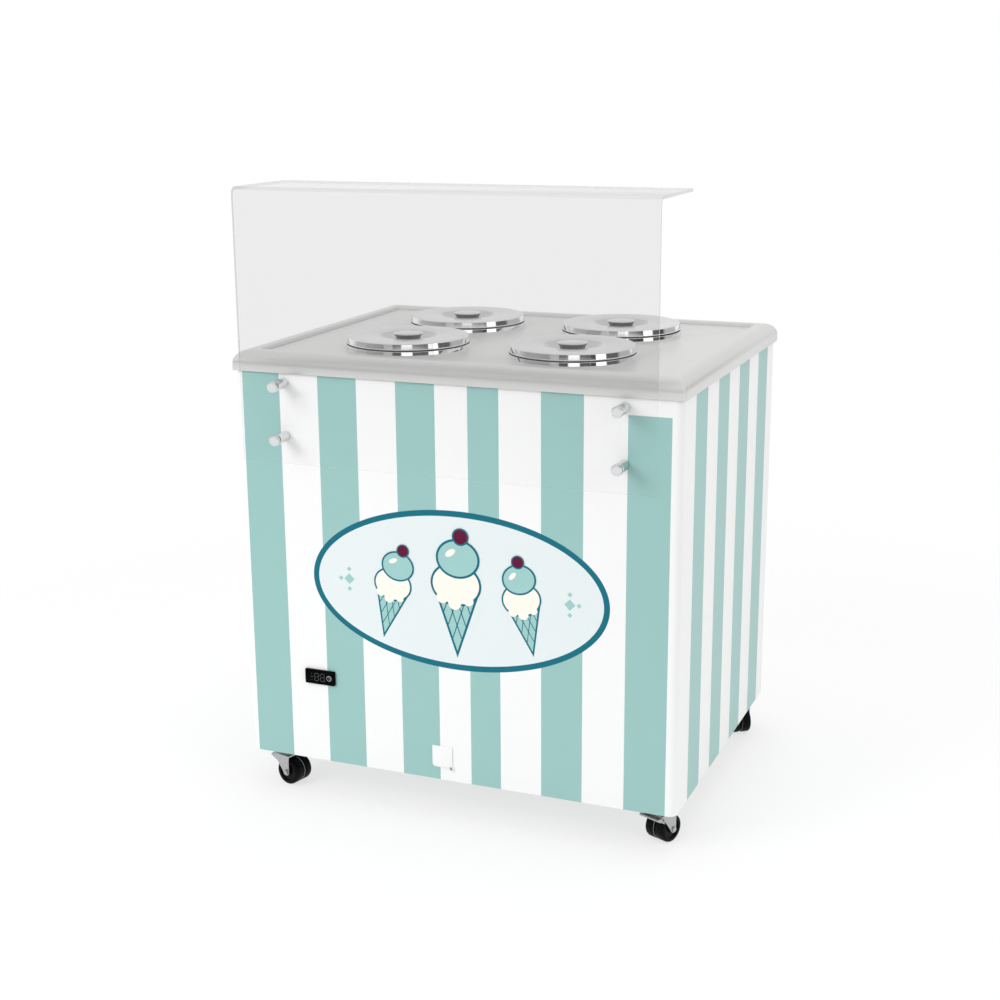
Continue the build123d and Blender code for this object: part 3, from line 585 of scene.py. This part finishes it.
def worktop():
    """The pressed top: a rolled skirt, a pan with sloped sides and a fold darkened with painted shade, and
    four holes.
    """
    roll, corner, rim, pan_corner, slope, ease = (v * MM for v in (25, 5, 40, 10, 1.5, 0.8))
    low, high = worktop_low, worktop_high
    top = rolled_block(low, high, roll, corner)
    inset = Vector((rim - slope, rim - slope, 0))
    pan_low, pan_high = low + inset, high - inset
    pan_low.z, pan_high.z = PAN_FLOOR, high.z + PAN_DEPTH
    pan = block(pan_low, pan_high)
    round_edges(pan, pan_corner, lambda a, b: abs(a.z - b.z) > PAN_DEPTH)
    pick_edges(pan, lambda a, b: max(a.z, b.z) < high.z)
    size = pan_high - pan_low
    taper = (1 - 4 * slope / size.x, 1 - 4 * slope / size.y, 1)
    bpy.ops.transform.resize(value=taper, center_override=(low + high) / 2)
    bpy.ops.object.mode_set(mode="OBJECT")
    wall, below = Vector((STEEL, STEEL, 0)), Vector((0, 0, PAN_DEPTH + STEEL))
    hollow = rolled_block(low + wall - below, high - wall - below, roll - STEEL, corner - STEEL)
    holes = []
    for name in CORNERS:
        x, y = middle_of(f"lid_{name}").xy
        holes.append(bar(WELL_HOLE, (x, y, low.z), (x, y, high.z + roll)))
    cut(top, hollow, pan, *holes)
    soften(top, ease, 3)
    foot = rim + slope + 2 * ease
    cut(top, pan_frame(foot, foot + STEEL, pan_corner))
    soften(top, 0)
    mount(top, "worktop_top", "cabinet", [STAINLESS, FOLD_SHADE_STAINLESS], ["worktop"])
    # The faces of the fold's groove get the darker stainless: painted shade in the crease
    paint_faces(top, 1, lambda c, n: 0.2 * MM < PAN_FLOOR - c.z < 1.6 * MM and edge_distance(c) > foot - MM)


# Wells: liners hung by raised collars, with a rubber seal, a tub, a dished lid and its knob
def wells():
    """Turns the liners and seals of the four wells, and the tub and lid of each."""
    low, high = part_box("well_liners")
    bore, steel, seal_bore = 105, 1.5, 109
    outside = bore + steel
    depth = (high.z - low.z) / MM - 1
    step = (PAN_FLOOR - low.z) / MM
    thick = (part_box("well_gaskets")[1].z - low.z) / MM - depth
    collar = (high.x - middle_of("lid_front_right").x) / MM
    # The seal is real, but its black lip runs out past it to just inside the collar's edge, as painted shade
    # in the gap under each lid
    shade_lip = collar - 1.4
    liners, seals, centres = [], [], []
    for name in CORNERS:
        x, y = middle_of(f"lid_{name}").xy
        centres.append(Vector((x, y)))
        liners.append(turned(
            [(0, 0), (outside, 0), (outside, step), (collar, step), (collar - 0.07, step + 0.4),
             (collar - 1.03, depth - 1), (collar - 1.1, depth - 0.6), (collar - 1.3, depth - 0.2),
             (collar - 1.8, depth), (outside, depth), (bore + 0.4, depth - 0.5), (bore, depth - 1.6),
             (bore, steel), (0, steel)],
            (x, y, low.z), steps=128,
        ))
        seals.append(turned(
            [(seal_bore, 0), (shade_lip, 0), (shade_lip, thick), (115, thick), (114, thick - 0.6), (113, thick),
             (seal_bore, thick), (seal_bore, 0)],
            (x, y, low.z + depth * MM),
        ))
        tub(name, x, y)
        lid(name, x, y)
    ring = join(liners)
    soften(ring, 0)
    mount(ring, "well_collars", "cabinet", [TURNED, MIRROR], ["well_liners"])
    wall = (collar - 1.7) * MM
    paint_faces(ring, 1, lambda c, n: abs(n.z) < 0.8 and min((c.xy - spot).length for spot in centres) > wall)
    seal = join(seals)
    soften(seal, 0.2 * MM)
    mount(seal, "lid_seals_and_gap_shade", "cabinet", [SEAL], ["well_gaskets"])


def tub(name, x, y):
    """A round tub of thin steel, with a rounded foot and a rolled rim."""
    low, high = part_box(f"tub_{name}")
    tall = (high.z - low.z) / MM
    shell = turned(
        [(0, 0), (92, 0), (96, 1.1), (98.9, 4), (100, 8), (100, tall - 4), (101.4, tall - 3.6),
         (102, tall - 2), (101.4, tall - 0.4), (100, tall), (98.9, tall - 0.8), (98.5, tall - 2),
         (98.5, 8), (97.6, 4.8), (95.2, 2.4), (92, 1.5), (0, 1.5)],
        (x, y, low.z),
    )
    soften(shell, 0)
    mount(shell, f"gelato_tub_{name}", f"tub_{name}", [TURNED], [f"tub_{name}"])


def lid(name, x, y):
    """A lid with a mirror rim and a dished middle, which carries a knob."""
    low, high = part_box(f"lid_{name}")
    spigot, spigot_radius, dish = 14, 103, 12.5
    top = (high.z - low.z) / MM - 1
    edge = (high.x - low.x) / 2 / MM
    floor = top - dish
    disc = turned(
        [(0, 0), (spigot_radius, 0), (spigot_radius, spigot), (edge - 0.5, spigot), (edge, spigot + 0.4),
         (edge, spigot + 1.1), (edge - 0.4, spigot + 1.6), (edge - 0.47, spigot + 2), (edge - 2.3, top - 1.1),
         (edge - 2.36, top - 0.7), (edge - 2.66, top - 0.2), (edge - 3.26, top), (edge - 3.8, top),
         (58.3, top), (57.5, top - 0.1), (56.6, top - 0.5), (56, top - 0.9), (38, floor + 1),
         (37.2, floor + 0.5), (36, floor + 0.1), (35, floor), (0, floor)],
        (x, y, low.z), steps=128,
    )
    soften(disc, 0)
    mount(disc, f"well_lid_{name}", f"lid_{name}", [TURNED, MIRROR], [f"lid_{name}"])
    centre, rim = Vector((x, y)), (edge - 3.2) * MM
    paint_faces(disc, 1, lambda c, n: (c.xy - centre).length > rim and abs(n.z) < 0.9)
    knob(name, x, y)


def knob(name, x, y):
    """A knob that widens upwards, bright on top, with its waist painted in darker chrome as shade."""
    low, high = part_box(f"lid_knob_{name}")
    rise = (high.z - low.z) / MM
    grip = turned(
        [(0, 0), (22, 0), (22.3, 1.2), (23.6, 5), (26.4, rise - 5.4), (28.9, rise - 2.6), (29.5, rise - 1.6),
         (29.1, rise - 0.7), (27.6, rise - 0.25), (12, rise), (0, rise)],
        (x, y, low.z),
    )
    soften(grip, 0)
    finishes = [TURNED, SHADED_CHROME]
    mount(grip, f"lid_handle_{name}", f"lid_{name}", finishes, [f"lid_knob_{name}"])
    waist = low.z + (rise - 2) * MM
    # The waist's faces get the darker chrome: painted shade under the knob's top
    paint_faces(grip, 1, lambda c, n: n.z < 0.1 and c.z < waist)


# Guard: one sheet of clear acrylic bent back into a shelf, on four stand-offs
GUARD_SHEET = 6 * MM


def guard():
    """Draws the sheet's front profile from foot to shelf, widens it and gives it its thickness."""
    low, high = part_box("guard_sheet")
    bend, steps = 14 * MM, 14
    profile = [(low.y, low.z)]
    for step in range(steps + 1):
        turn = math.radians(90 * step / steps)
        profile.append((low.y + bend * (1 - math.cos(turn)), high.z - bend * (1 - math.sin(turn))))
    profile.append((high.y, high.z))
    pane = chain([Vector((low.x, y, z)) for y, z in profile])
    bpy.ops.mesh.extrude_region_move(TRANSFORM_OT_translate={"value": (high.x - low.x, 0, 0)})
    bpy.ops.object.mode_set(mode="OBJECT")
    settle(pane)
    wall = pane.modifiers.new("Sheet", "SOLIDIFY")
    wall.thickness = GUARD_SHEET
    wall.offset = -1 if pane.data.polygons[0].normal.y < 0 else 1
    wall.material_offset_rim = 1
    mount(pane, "guard_pane", "cabinet", [ACRYLIC, ACRYLIC_EDGE], ["guard_sheet"])
    pane.visible_shadow = False
    apply_modifiers(pane)
    soften(pane, 0.6 * MM, 2, 40)
    edit("FACE")
    bpy.ops.mesh.select_all(action="SELECT")
    bpy.ops.mesh.normals_make_consistent(inside=False)
    bpy.ops.object.mode_set(mode="OBJECT")


def standoffs():
    """Turned bars between the panel and the guard, with ringed caps on the guard's face."""
    low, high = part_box("standoff_barrels")
    face, cap_face = (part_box(node)[0].y for node in ("guard_sheet", "standoff_caps"))
    radius, sides = 10, 48
    length = (front - face - GUARD_SHEET) / MM
    cap = (face - cap_face) / MM
    barrels, caps = [], []
    for x in (low.x + radius * MM, high.x - radius * MM):
        for z in (low.z + radius * MM, high.z - radius * MM):
            barrels.append(turned(
                [(0, 0), (radius - 1.2, 0), (radius, 1.2), (radius, length - 1.2),
                 (radius - 0.6, length - 0.4), (0, length - 0.4)],
                (x, face + GUARD_SHEET, z), ALONG_Y, sides,
            ))
            caps.append(turned(
                [(0, 0), (6.6, 0), (6.9, 0.35), (7.6, 0.35), (7.9, 0), (9.2, 0), (10.5, 0.5), (11, 1.6),
                 (11, cap - 0.4), (10.6, cap), (0, cap)],
                (x, cap_face, z), ALONG_Y, sides,
            ))
    stem = join(barrels)
    soften(stem, 0.2 * MM)
    mount(stem, "guard_standoffs", "cabinet", [ALUMINIUM], ["standoff_barrels"])
    button = join(caps)
    soften(button, 0)
    mount(button, "guard_caps", "cabinet", [ALUMINIUM], ["standoff_caps"])


# Thermostat: black bezel, smoked window with unlit digits, round button
def thermostat():
    """The bezel and its window, in front of which the digits and the button are set."""
    dress("thermostat_case", 0.6, "thermostat_bezel", "cabinet", BLACK_ABS)
    low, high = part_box("thermostat_lens")
    window = block(low, high)
    soften(window, 0.25 * MM)
    mount(window, "thermostat_window", "cabinet", [SMOKED], ["thermostat_lens"])
    digits((low + high) / 2, low.y)
    key()


def segment(x, z, wide, tall, face):
    """One bar of an unlit digit, a hair proud of the window."""
    proud, sunk = 0.12 * MM, 0.2 * MM
    piece = block((x - wide / 2, face - proud, z - tall / 2), (x + wide / 2, face + sunk, z + tall / 2))
    return round_edges(piece, min(wide, tall) * 0.35, lambda a, b: abs(a.y - b.y) > 0.1 * MM, 2)


def digits(centre, face):
    """Two unlit figures of seven bars each, a minus sign, a point and two dots."""
    tall, wide, stroke = 15.5 * MM, 9 * MM, 1.2 * MM
    gap = 1.6 * stroke
    bars = []
    for x in (centre.x + 0.2 * MM, centre.x + 13.2 * MM):
        for z in (-tall / 2, 0, tall / 2):
            bars.append(segment(x, centre.z + z, wide - gap, stroke, face))
        for side in (-1, 1):
            for z in (-tall / 4, tall / 4):
                bars.append(segment(x + side * wide / 2, centre.z + z, stroke, tall / 2 - gap, face))
    for x, z, length in ((-10.5, 0, 5), (19.4, -7.7, 1.2), (-10.5, 6.4, 1.6), (-10.5, -6.4, 1.6)):
        bars.append(segment(centre.x + x * MM, centre.z + z * MM, length * MM, stroke, face))
    shown = join(bars)
    soften(shown, 0)
    mount(shown, "thermostat_digits", "cabinet", [GHOST])


def key():
    """A black button in a grey ring, chamfered behind to clear the bezel, with one slanting mark."""
    low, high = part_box("thermostat_button")
    centre = (low + high) / 2
    deep = (high.y - low.y) / MM
    dish = 0.7
    cap = turned(
        [(0, dish), (2.4, 0.55), (3.8, 0.3), (4.3, 0), (5.1, 0), (5.5, 0.4), (5.5, deep - 0.8), (4.7, deep),
         (0, deep)],
        (centre.x, low.y, centre.z), ALONG_Y, 48,
    )
    soften(cap, 0.12 * MM)
    mount(cap, "thermostat_key", "button", [GREY_ABS_AND_GROOVE_HIGHLIGHT, BLACK_ABS], ["thermostat_button"])
    paint_faces(cap, 1, lambda c, n: (c - centre).xz.length < 4.2 * MM)
    mark = segment(0, 0, 3.6 * MM, 0.8 * MM, 0)
    mark.rotation_euler = (0, math.radians(-45), 0)
    mark.location = (centre.x, low.y + dish * MM, centre.z)
    settle(mark)
    mount(mark, "thermostat_key_mark", "button", [GREY_ABS_AND_GROOVE_HIGHLIGHT])


# Drain cover and the pin that it swings on
def drain():
    """The white cover, and its pin with a slot across the head."""
    dress("drain_cover", 0.7, "drain_flap", "drain_cover", WHITE_ABS, 3)
    pin = from_solid("drain_cover_pin", 0.3 * MM)
    low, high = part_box("drain_cover_pin")
    z, half, deep = (low.z + high.z) / 2, 0.5 * MM, 0.6 * MM
    cut(pin, block((low.x - MM, low.y - MM, z - half), (high.x + MM, low.y + deep, z + half)))
    soften(pin, 0)
    mount(pin, "drain_flap_pin", "cabinet", [ZINC], ["drain_cover_pin"])


# Casters: pressed forks, twin-tread wheels, riveted axles, foot levers
def casters():
    """Four forks with axles and wheels, levers on the front pair, and the plates that hold them."""
    for name in CORNERS:
        dress(f"caster_fork_{name}", 0.7, f"fork_{name}", f"fork_{name}", ZINC)
        dress(f"caster_axle_{name}", 0.5, f"axle_{name}", f"fork_{name}", ZINC)
        tyre(name)
        if f"brake_pedal_{name}" in joints:
            dress(f"brake_pedal_{name}", 0.6, f"foot_lever_{name}", f"pedal_{name}", ZINC)
    dress("caster_plates", 0.4, "caster_tops", "cabinet", ZINC)
    dress("caster_bolts", 0.4, "caster_screws", "cabinet", ZINC)


def tyre(name):
    """A wheel with two rounded treads, sunk sides and a hub, spun about its own axle."""
    spin = joints[f"wheel_spin_{name}"]
    along, spot = Vector(spin["axis"]), Vector(spin["pos_m"])
    solid = frame["nodes"][f"caster_wheel_{name}"].data
    wide = max((point.co - spot).dot(along) for point in solid.vertices) / MM
    edge = spot.z / MM
    face = [(3.05, 0), (8, 0), (8.4, -0.4), (8.8, -2.8), (edge - 8.8, -2.8), (edge - 8, -0.6), (edge - 7, 0),
            (edge - 4, 0), (edge - 1.1, -1.1), (edge, -4)]
    groove = [(edge, 4), (edge - 0.6, 2.7), (edge - 2.5, 2.4), (edge - 6.8, 2.4)]
    half = [(r, wide + h) for r, h in face] + groove
    outline = half + [(r, -h) for r, h in reversed(half)] + [half[0]]
    wheel = turned(outline, (0, 0, 0), ALONG_Y, 64)
    soften(wheel, 0, angle=28)
    wheel.rotation_euler = (0, 0, math.atan2(-along.x, along.y))
    wheel.location = spot
    settle(wheel)
    finishes = [TREAD, CORE, GREY_ABS_AND_GROOVE_HIGHLIGHT]
    mount(wheel, f"twin_wheel_{name}", f"wheel_{name}", finishes, [f"caster_wheel_{name}"])

    def from_axle(point):
        return ((point - spot) - along * (point - spot).dot(along)).length / MM

    paint_faces(wheel, 1, lambda c, n: from_axle(c) < edge - 7.5)
    # The lips of the groove between the treads are painted grey: a painted highlight
    paint_faces(wheel, 2, lambda c, n: from_axle(c) > edge - 2.6 and abs((c - spot).dot(along)) < 3 * MM)


# Rear panel: cross-head screws, pressed hoods over the vent slots, mains inlet
def rear_screws():
    """Three columns of domed screws with a cross cut in each head."""
    low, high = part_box("rear_panel_screws")
    head, rows = 4 * MM, 5
    proud = (high.y - back) / MM
    shank = proud + 3
    model = turned(
        [(0, 0), (2.4, -0.25), (3.5, -0.8), (4, -proud), (2, -proud), (2, -shank), (0, -shank)],
        (0, 0, 0), ALONG_Y, 32,
    )
    for wide, tall in ((3.6 * MM, 0.8 * MM), (0.8 * MM, 3.6 * MM)):
        cut(model, block((-wide / 2, -0.9 * MM, -tall / 2), (wide / 2, MM, tall / 2)))
    pitch = (high.z - low.z - 2 * head) / (rows - 1)
    screws = []
    for x in (low.x + head, middle_of("power_inlet").x, high.x - head):
        for row in range(rows):
            screws.append(copy_of(model, (x, high.y, low.z + head + row * pitch)))
    bpy.data.objects.remove(model)
    heads = join(screws)
    soften(heads, 0)
    mount(heads, "rear_screws", "cabinet", [ZINC], ["rear_panel_screws"])


def louvres():
    """Hoods pressed out over the slots, open below, so that drips stay out."""
    centre = middle_of("fan_shroud")
    rows, columns, pitch, length, column_gap = 12, 2, 20 * MM, 130 * MM, 14 * MM
    tall, proud, skin, drop = 11 * MM, 4.2 * MM, 1.2 * MM, 3 * MM
    model = block((-length / 2, 0, 0), (length / 2, proud, tall))
    pick_edges(model, lambda a, b: min(a.y, b.y) > proud / 2 and min(a.z, b.z) > tall / 2)
    bpy.ops.transform.translate(value=(0, -proud * 0.96, 0))
    bpy.ops.object.mode_set(mode="OBJECT")
    round_edges(model, 3 * MM, lambda a, b: abs(a.x - b.x) < MM and max(a.y, b.y) > proud / 2, 5)
    soften(model, 0.8 * MM, 3)
    cut(model, block((-length / 2 + skin, -proud, -MM), (length / 2 - skin, proud - skin, tall * 0.55)))
    hoods = []
    for row in range(rows):
        z = centre.z + (row - (rows - 1) / 2) * pitch - drop
        for column in range(columns):
            x = centre.x + (column - (columns - 1) / 2) * (length + column_gap)
            hoods.append(copy_of(model, (x, back, z)))
    bpy.data.objects.remove(model)
    grille = join(hoods)
    soften(grille, 0)
    mount(grille, "rear_louvres", "cabinet", [ENAMEL])


def mains_inlet():
    """The inlet's body, and three flat pins inside it."""
    dress("power_inlet", 0.6, "mains_inlet_body", "cabinet", BLACK_ABS)
    spot = middle_of("power_inlet")
    spot.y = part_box("power_inlet")[1].y - 15 * MM
    half, length = Vector((1, 0, 2)) * MM, Vector((0, 11, 0)) * MM
    pins = []
    for shift in ((-7, 0, -2), (0, 0, 3), (7, 0, -2)):
        root = spot + Vector(shift) * MM
        pins.append(soften(block(root - half, root + half + length), 0.4 * MM))
    mount(join(pins), "mains_inlet_pins", "cabinet", [ZINC])


# Label: an oval of vinyl on the front panel, with three plain cones inside a border
LABEL_X, LABEL_Z = 13 * MM, base + 392 * MM
LABEL_WIDE, LABEL_TALL = 306 * MM, 158 * MM
LABEL_SIDES = 160
BORDER = 11.5 * MM
FILM = 0.12 * MM


def on_panel(piece, x, z, layer, turn=0.0):
    """Lays a flat piece of film on the front panel, turned, one layer above another."""
    piece.rotation_euler = (0, turn, 0)
    piece.location = (LABEL_X + x, front - (layer + 0.5) * FILM, LABEL_Z + z)
    return settle(piece)


def flat_disc(x, z, wide, tall, layer, sides=64, turn=0.0, thick=FILM):
    """An oval of film or, with few sides, a pointed shape."""
    clear_selection()
    bpy.ops.mesh.primitive_cylinder_add(vertices=sides, radius=1, depth=thick)
    piece = bpy.context.object
    piece.rotation_euler = (math.pi / 2, 0, 0)
    settle(piece)
    piece.scale = (wide, 1, tall)
    settle(piece)
    return on_panel(piece, x, z, layer, turn)


def strip(start, end, wide, layer):
    """A straight line of film between two places on the label."""
    start, end = Vector(start), Vector(end)
    run = end - start
    centre = (start + end) / 2
    piece = block((-run.length / 2, -FILM / 2, -wide / 2), (run.length / 2, FILM / 2, wide / 2))
    return on_panel(piece, centre.x, centre.y, layer, -math.atan2(run.y, run.x))


def label():
    """The field, its border, three cones of two sizes and a small star of dots at each end."""
    field = flat_disc(0, 0, LABEL_WIDE, LABEL_TALL, 0, LABEL_SIDES)
    mount(field, "label_field", "cabinet", [MINT])
    border = flat_disc(0, 0, LABEL_WIDE, LABEL_TALL, 1, LABEL_SIDES)
    cut(border, flat_disc(0, 0, LABEL_WIDE - BORDER, LABEL_TALL - BORDER, 1, LABEL_SIDES, thick=6 * FILM))
    lines, wafers, scoops, shades, berries = groups = [border], [], [], [], []
    for x, z, size, turn in ((-135, -10, 1.15, 12), (0, 2, 1.5, 0), (135, -10, 1.15, -12)):
        for group, parts in zip(groups, cone(x * MM, z * MM, size, math.radians(turn))):
            group.extend(parts)
    for side in (-1, 1):
        for x, z, size in ((228, 0, 11), (246, 0, 5), (228, 20, 5), (228, -20, 5)):
            shades.append(flat_disc(side * x * MM, z * MM, size * MM, size * MM, 1, 4))
    for name, parts, material in (
        ("label_line_work", lines, DEEP_TEAL), ("label_wafers", wafers, SOFT_TEAL),
        ("label_scoops", scoops, CREAM), ("label_shades", shades, SOFT_TEAL),
        ("label_berries", berries, BERRY),
    ):
        mount(join(parts), name, "cabinet", [material])


def cone(x, z, size, turn):
    """One cone with two scoops and a berry: its lines, wafer, light scoops, shaded scoops and berry."""
    def at(dx, dz):
        dx, dz = dx * size * MM, dz * size * MM
        return x + dx * math.cos(turn) + dz * math.sin(turn), z - dx * math.sin(turn) + dz * math.cos(turn)

    def oval(dx, dz, wide, tall, layer, sides=48, extra=0.0):
        px, pz = at(dx, dz)
        return flat_disc(px, pz, wide * size * MM, tall * size * MM, layer, sides, turn + extra)

    half_wide, rim, tip, line = 25.1, -9, -81, 1.3
    lines = [oval(0, -34, 34, 56, 1, 3, math.pi)]
    wafers = [oval(0, -33, 29, 48, 2, 3, math.pi)]
    for share in (0.28, 0.52, 0.76):
        for side in (-1, 1):
            start = at(side * half_wide * (2 * share - 1), rim)
            end = at(side * half_wide * (share - 1), rim + (tip - rim) * share)
            lines.append(strip(start, end, line * size * MM, 3))
    lines.append(oval(-1, 8, 35, 29, 4))
    scoops = [oval(-1, 8, 32, 26, 6)]
    for dx, dz, drop in ((-20, -11, 8), (-3, -17, 9), (16, -12, 7)):
        scoops.append(oval(dx, dz, drop, drop, 5, 24))
    lines.append(oval(2, 42, 30, 26, 7))
    shades = [oval(2, 42, 27, 23, 8)]
    scoops.append(oval(-8, 49, 8, 4, 9, 32, math.radians(-35)))
    lines.append(oval(6, 71, 11.5, 11.5, 9, 32))
    berries = [oval(6, 71, 9.5, 9.5, 10, 32)]
    return lines, wafers, scoops, shades, berries


# Floor, light and camera
WHITE = colour("#FFFFFF")
FLOOR_LIFT = 0.68
FLOOR_FADE = (0.8, 2.4)
WORLD_LIGHT = 0.66
# Walls of the studio as polished metal mirrors them: degrees round from its front, and brightness
STUDIO_WALLS = (
    (-180, 1.0), (-125, 1.0), (-105, 0.5), (-44, 0.34), (-42, 0.6), (-27, 0.6), (-25.5, 0.0), (-10.5, 0.0),
    (-9, 2.0), (9.5, 2.0), (11, 0.0), (39.5, 0.0), (41, 2.0), (58, 2.0), (61, 0.06), (84, 0.06), (92, 0.5),
    (130, 0.5), (150, 1.0), (180, 1.0),
)
STUDIO_CEILING = (0.85, 0.85, 0.85, 1)
STUDIO_FRONT = -68.3


def seen_rays(tree):
    """Marks rays that show the background, from the camera, metal or clear plastic, and those from metal."""
    rays = add(tree, "ShaderNodeLightPath")
    seen = rays.outputs["Is Camera Ray"]
    for kind in ("Is Glossy Ray", "Is Transmission Ray"):
        seen = add(tree, "ShaderNodeMath", {0: seen, 1: rays.outputs[kind]}, operation="MAXIMUM").outputs[0]
    return seen, rays.outputs["Is Glossy Ray"]


def pale_floor():
    """A matt white floor that keeps a soft shadow and fades into the white background."""
    clear_selection()
    bpy.ops.mesh.primitive_circle_add(vertices=96, radius=6, fill_type="NGON")
    floor = bpy.context.object
    floor.name = "studio_floor"
    material, tree, shader = finish("Pale_floor", {"Base Color": colour("#F7F7F7"), "Roughness": 0.9})
    glow = add(tree, "ShaderNodeEmission", {"Color": WHITE, "Strength": 1.0})
    inputs = {0: seen_rays(tree)[0], 1: FLOOR_LIFT}
    lift = add(tree, "ShaderNodeMath", inputs, operation="MULTIPLY").outputs[0]
    pale = add(tree, "ShaderNodeMixShader", {0: lift, 1: shader.outputs[0], 2: glow.outputs[0]})
    place = add(tree, "ShaderNodeTexCoord")
    reach = add(tree, "ShaderNodeVectorMath", {0: place.outputs["Object"]}, operation="LENGTH")
    fade = add(tree, "ShaderNodeMapRange", {
        "Value": reach.outputs["Value"], "From Min": FLOOR_FADE[0], "From Max": FLOOR_FADE[1],
        "To Min": 1.0, "To Max": 0.0,
    }, interpolation_type="SMOOTHSTEP").outputs["Result"]
    clear = add(tree, "ShaderNodeBsdfTransparent")
    whole = add(tree, "ShaderNodeMixShader", {0: fade, 1: clear.outputs[0], 2: pale.outputs[0]})
    tree.links.new(whole.outputs[0], tree.nodes["Material Output"].inputs["Surface"])
    floor.data.materials.append(material)


def surround():
    """An even white world, in which polished metal sees a white backdrop, dark walls and bright cards."""
    world = bpy.data.worlds.new("Studio")
    bpy.context.scene.world = world
    world.use_nodes = True
    tree = world.node_tree
    tree.nodes.clear()
    place = add(tree, "ShaderNodeTexCoord")
    axes = add(tree, "ShaderNodeSeparateXYZ", {"Vector": place.outputs["Generated"]})
    inputs = {0: axes.outputs["Y"], 1: axes.outputs["X"]}
    azimuth = add(tree, "ShaderNodeMath", inputs, operation="ARCTAN2").outputs[0]
    inputs = {0: azimuth, 1: 1 / math.tau, 2: 0.5 - STUDIO_FRONT / 360}
    share = add(tree, "ShaderNodeMath", inputs, operation="MULTIPLY_ADD").outputs[0]
    turned_round = add(tree, "ShaderNodeMath", {0: share}, operation="FRACT").outputs[0]
    walls = add(tree, "ShaderNodeValToRGB", {"Fac": turned_round})
    stops = walls.color_ramp.elements
    while len(stops) > 1:
        stops.remove(stops[-1])
    for number, (degrees, level) in enumerate(STUDIO_WALLS):
        place_round = 0.5 + degrees / 360
        stop = stops[0] if number == 0 else stops.new(place_round)
        stop.position = place_round
        stop.color = (level, level, level, 1)
    shown = walls.outputs["Color"]
    seen, glossy = seen_rays(tree)
    for low, high, level in ((0.17, 0.23, STUDIO_CEILING), (0.02, -0.03, WHITE)):
        share = add(tree, "ShaderNodeMapRange", {
            "Value": axes.outputs["Z"], "From Min": low, "From Max": high,
        }, interpolation_type="SMOOTHSTEP").outputs["Result"]
        inputs = {MIX_FACTOR: share, MIX_A: shown, MIX_B: level}
        shown = add(tree, "ShaderNodeMix", inputs, data_type="RGBA").outputs[MIX_RESULT]
    inputs = {MIX_FACTOR: glossy, MIX_A: WHITE, MIX_B: shown}
    shown = add(tree, "ShaderNodeMix", inputs, data_type="RGBA").outputs[MIX_RESULT]
    light = add(tree, "ShaderNodeBackground", {"Color": WHITE, "Strength": WORLD_LIGHT})
    backdrop = add(tree, "ShaderNodeBackground", {"Color": shown, "Strength": 1.0})
    mix = add(tree, "ShaderNodeMixShader", {0: seen, 1: light.outputs[0], 2: backdrop.outputs[0]})
    add(tree, "ShaderNodeOutputWorld", {"Surface": mix.outputs[0]})


def lamps():
    """Three large softboxes that metal does not mirror, so that it shows the walls instead."""
    target = Vector((0, 0, 0.6))
    for name, spot, size, power in (
        ("key_softbox", (-2.4, -3.4, 2.9), 2.4, 82),
        ("fill_softbox", (3.4, -1.0, 2.2), 2.2, 22),
        ("top_softbox", (0.2, 0.4, 3.6), 2.6, 45),
    ):
        bpy.ops.object.light_add(type="AREA", location=spot)
        lamp = bpy.context.object
        lamp.name = name
        lamp.data.energy = power
        lamp.data.size = size
        lamp.rotation_euler = (target - Vector(spot)).to_track_quat("-Z", "Y").to_euler()
        lamp.visible_glossy = False


def camera():
    """The photograph's viewpoint: from the front right, above the worktop, looking slightly down."""
    yaw, pitch, roll = (math.radians(v) for v in (22.21, 14.73, -0.41))
    away = Vector((1203, -2694, 1345)) * MM
    bpy.ops.object.camera_add(location=away + Vector((0, front, base)))
    eye = bpy.context.object
    eye.rotation_euler = (math.pi / 2 - pitch, 0, yaw)
    eye.rotation_euler.rotate_axis("Z", roll)
    eye.data.sensor_width = 36
    eye.data.lens = 58.6
    bpy.context.scene.camera = eye


worktop()
wells()
guard()
standoffs()
thermostat()
drain()
casters()
rear_screws()
louvres()
mains_inlet()
label()
pale_floor()
surround()
lamps()
camera()
bpy.context.scene.view_settings.view_transform = "Standard"
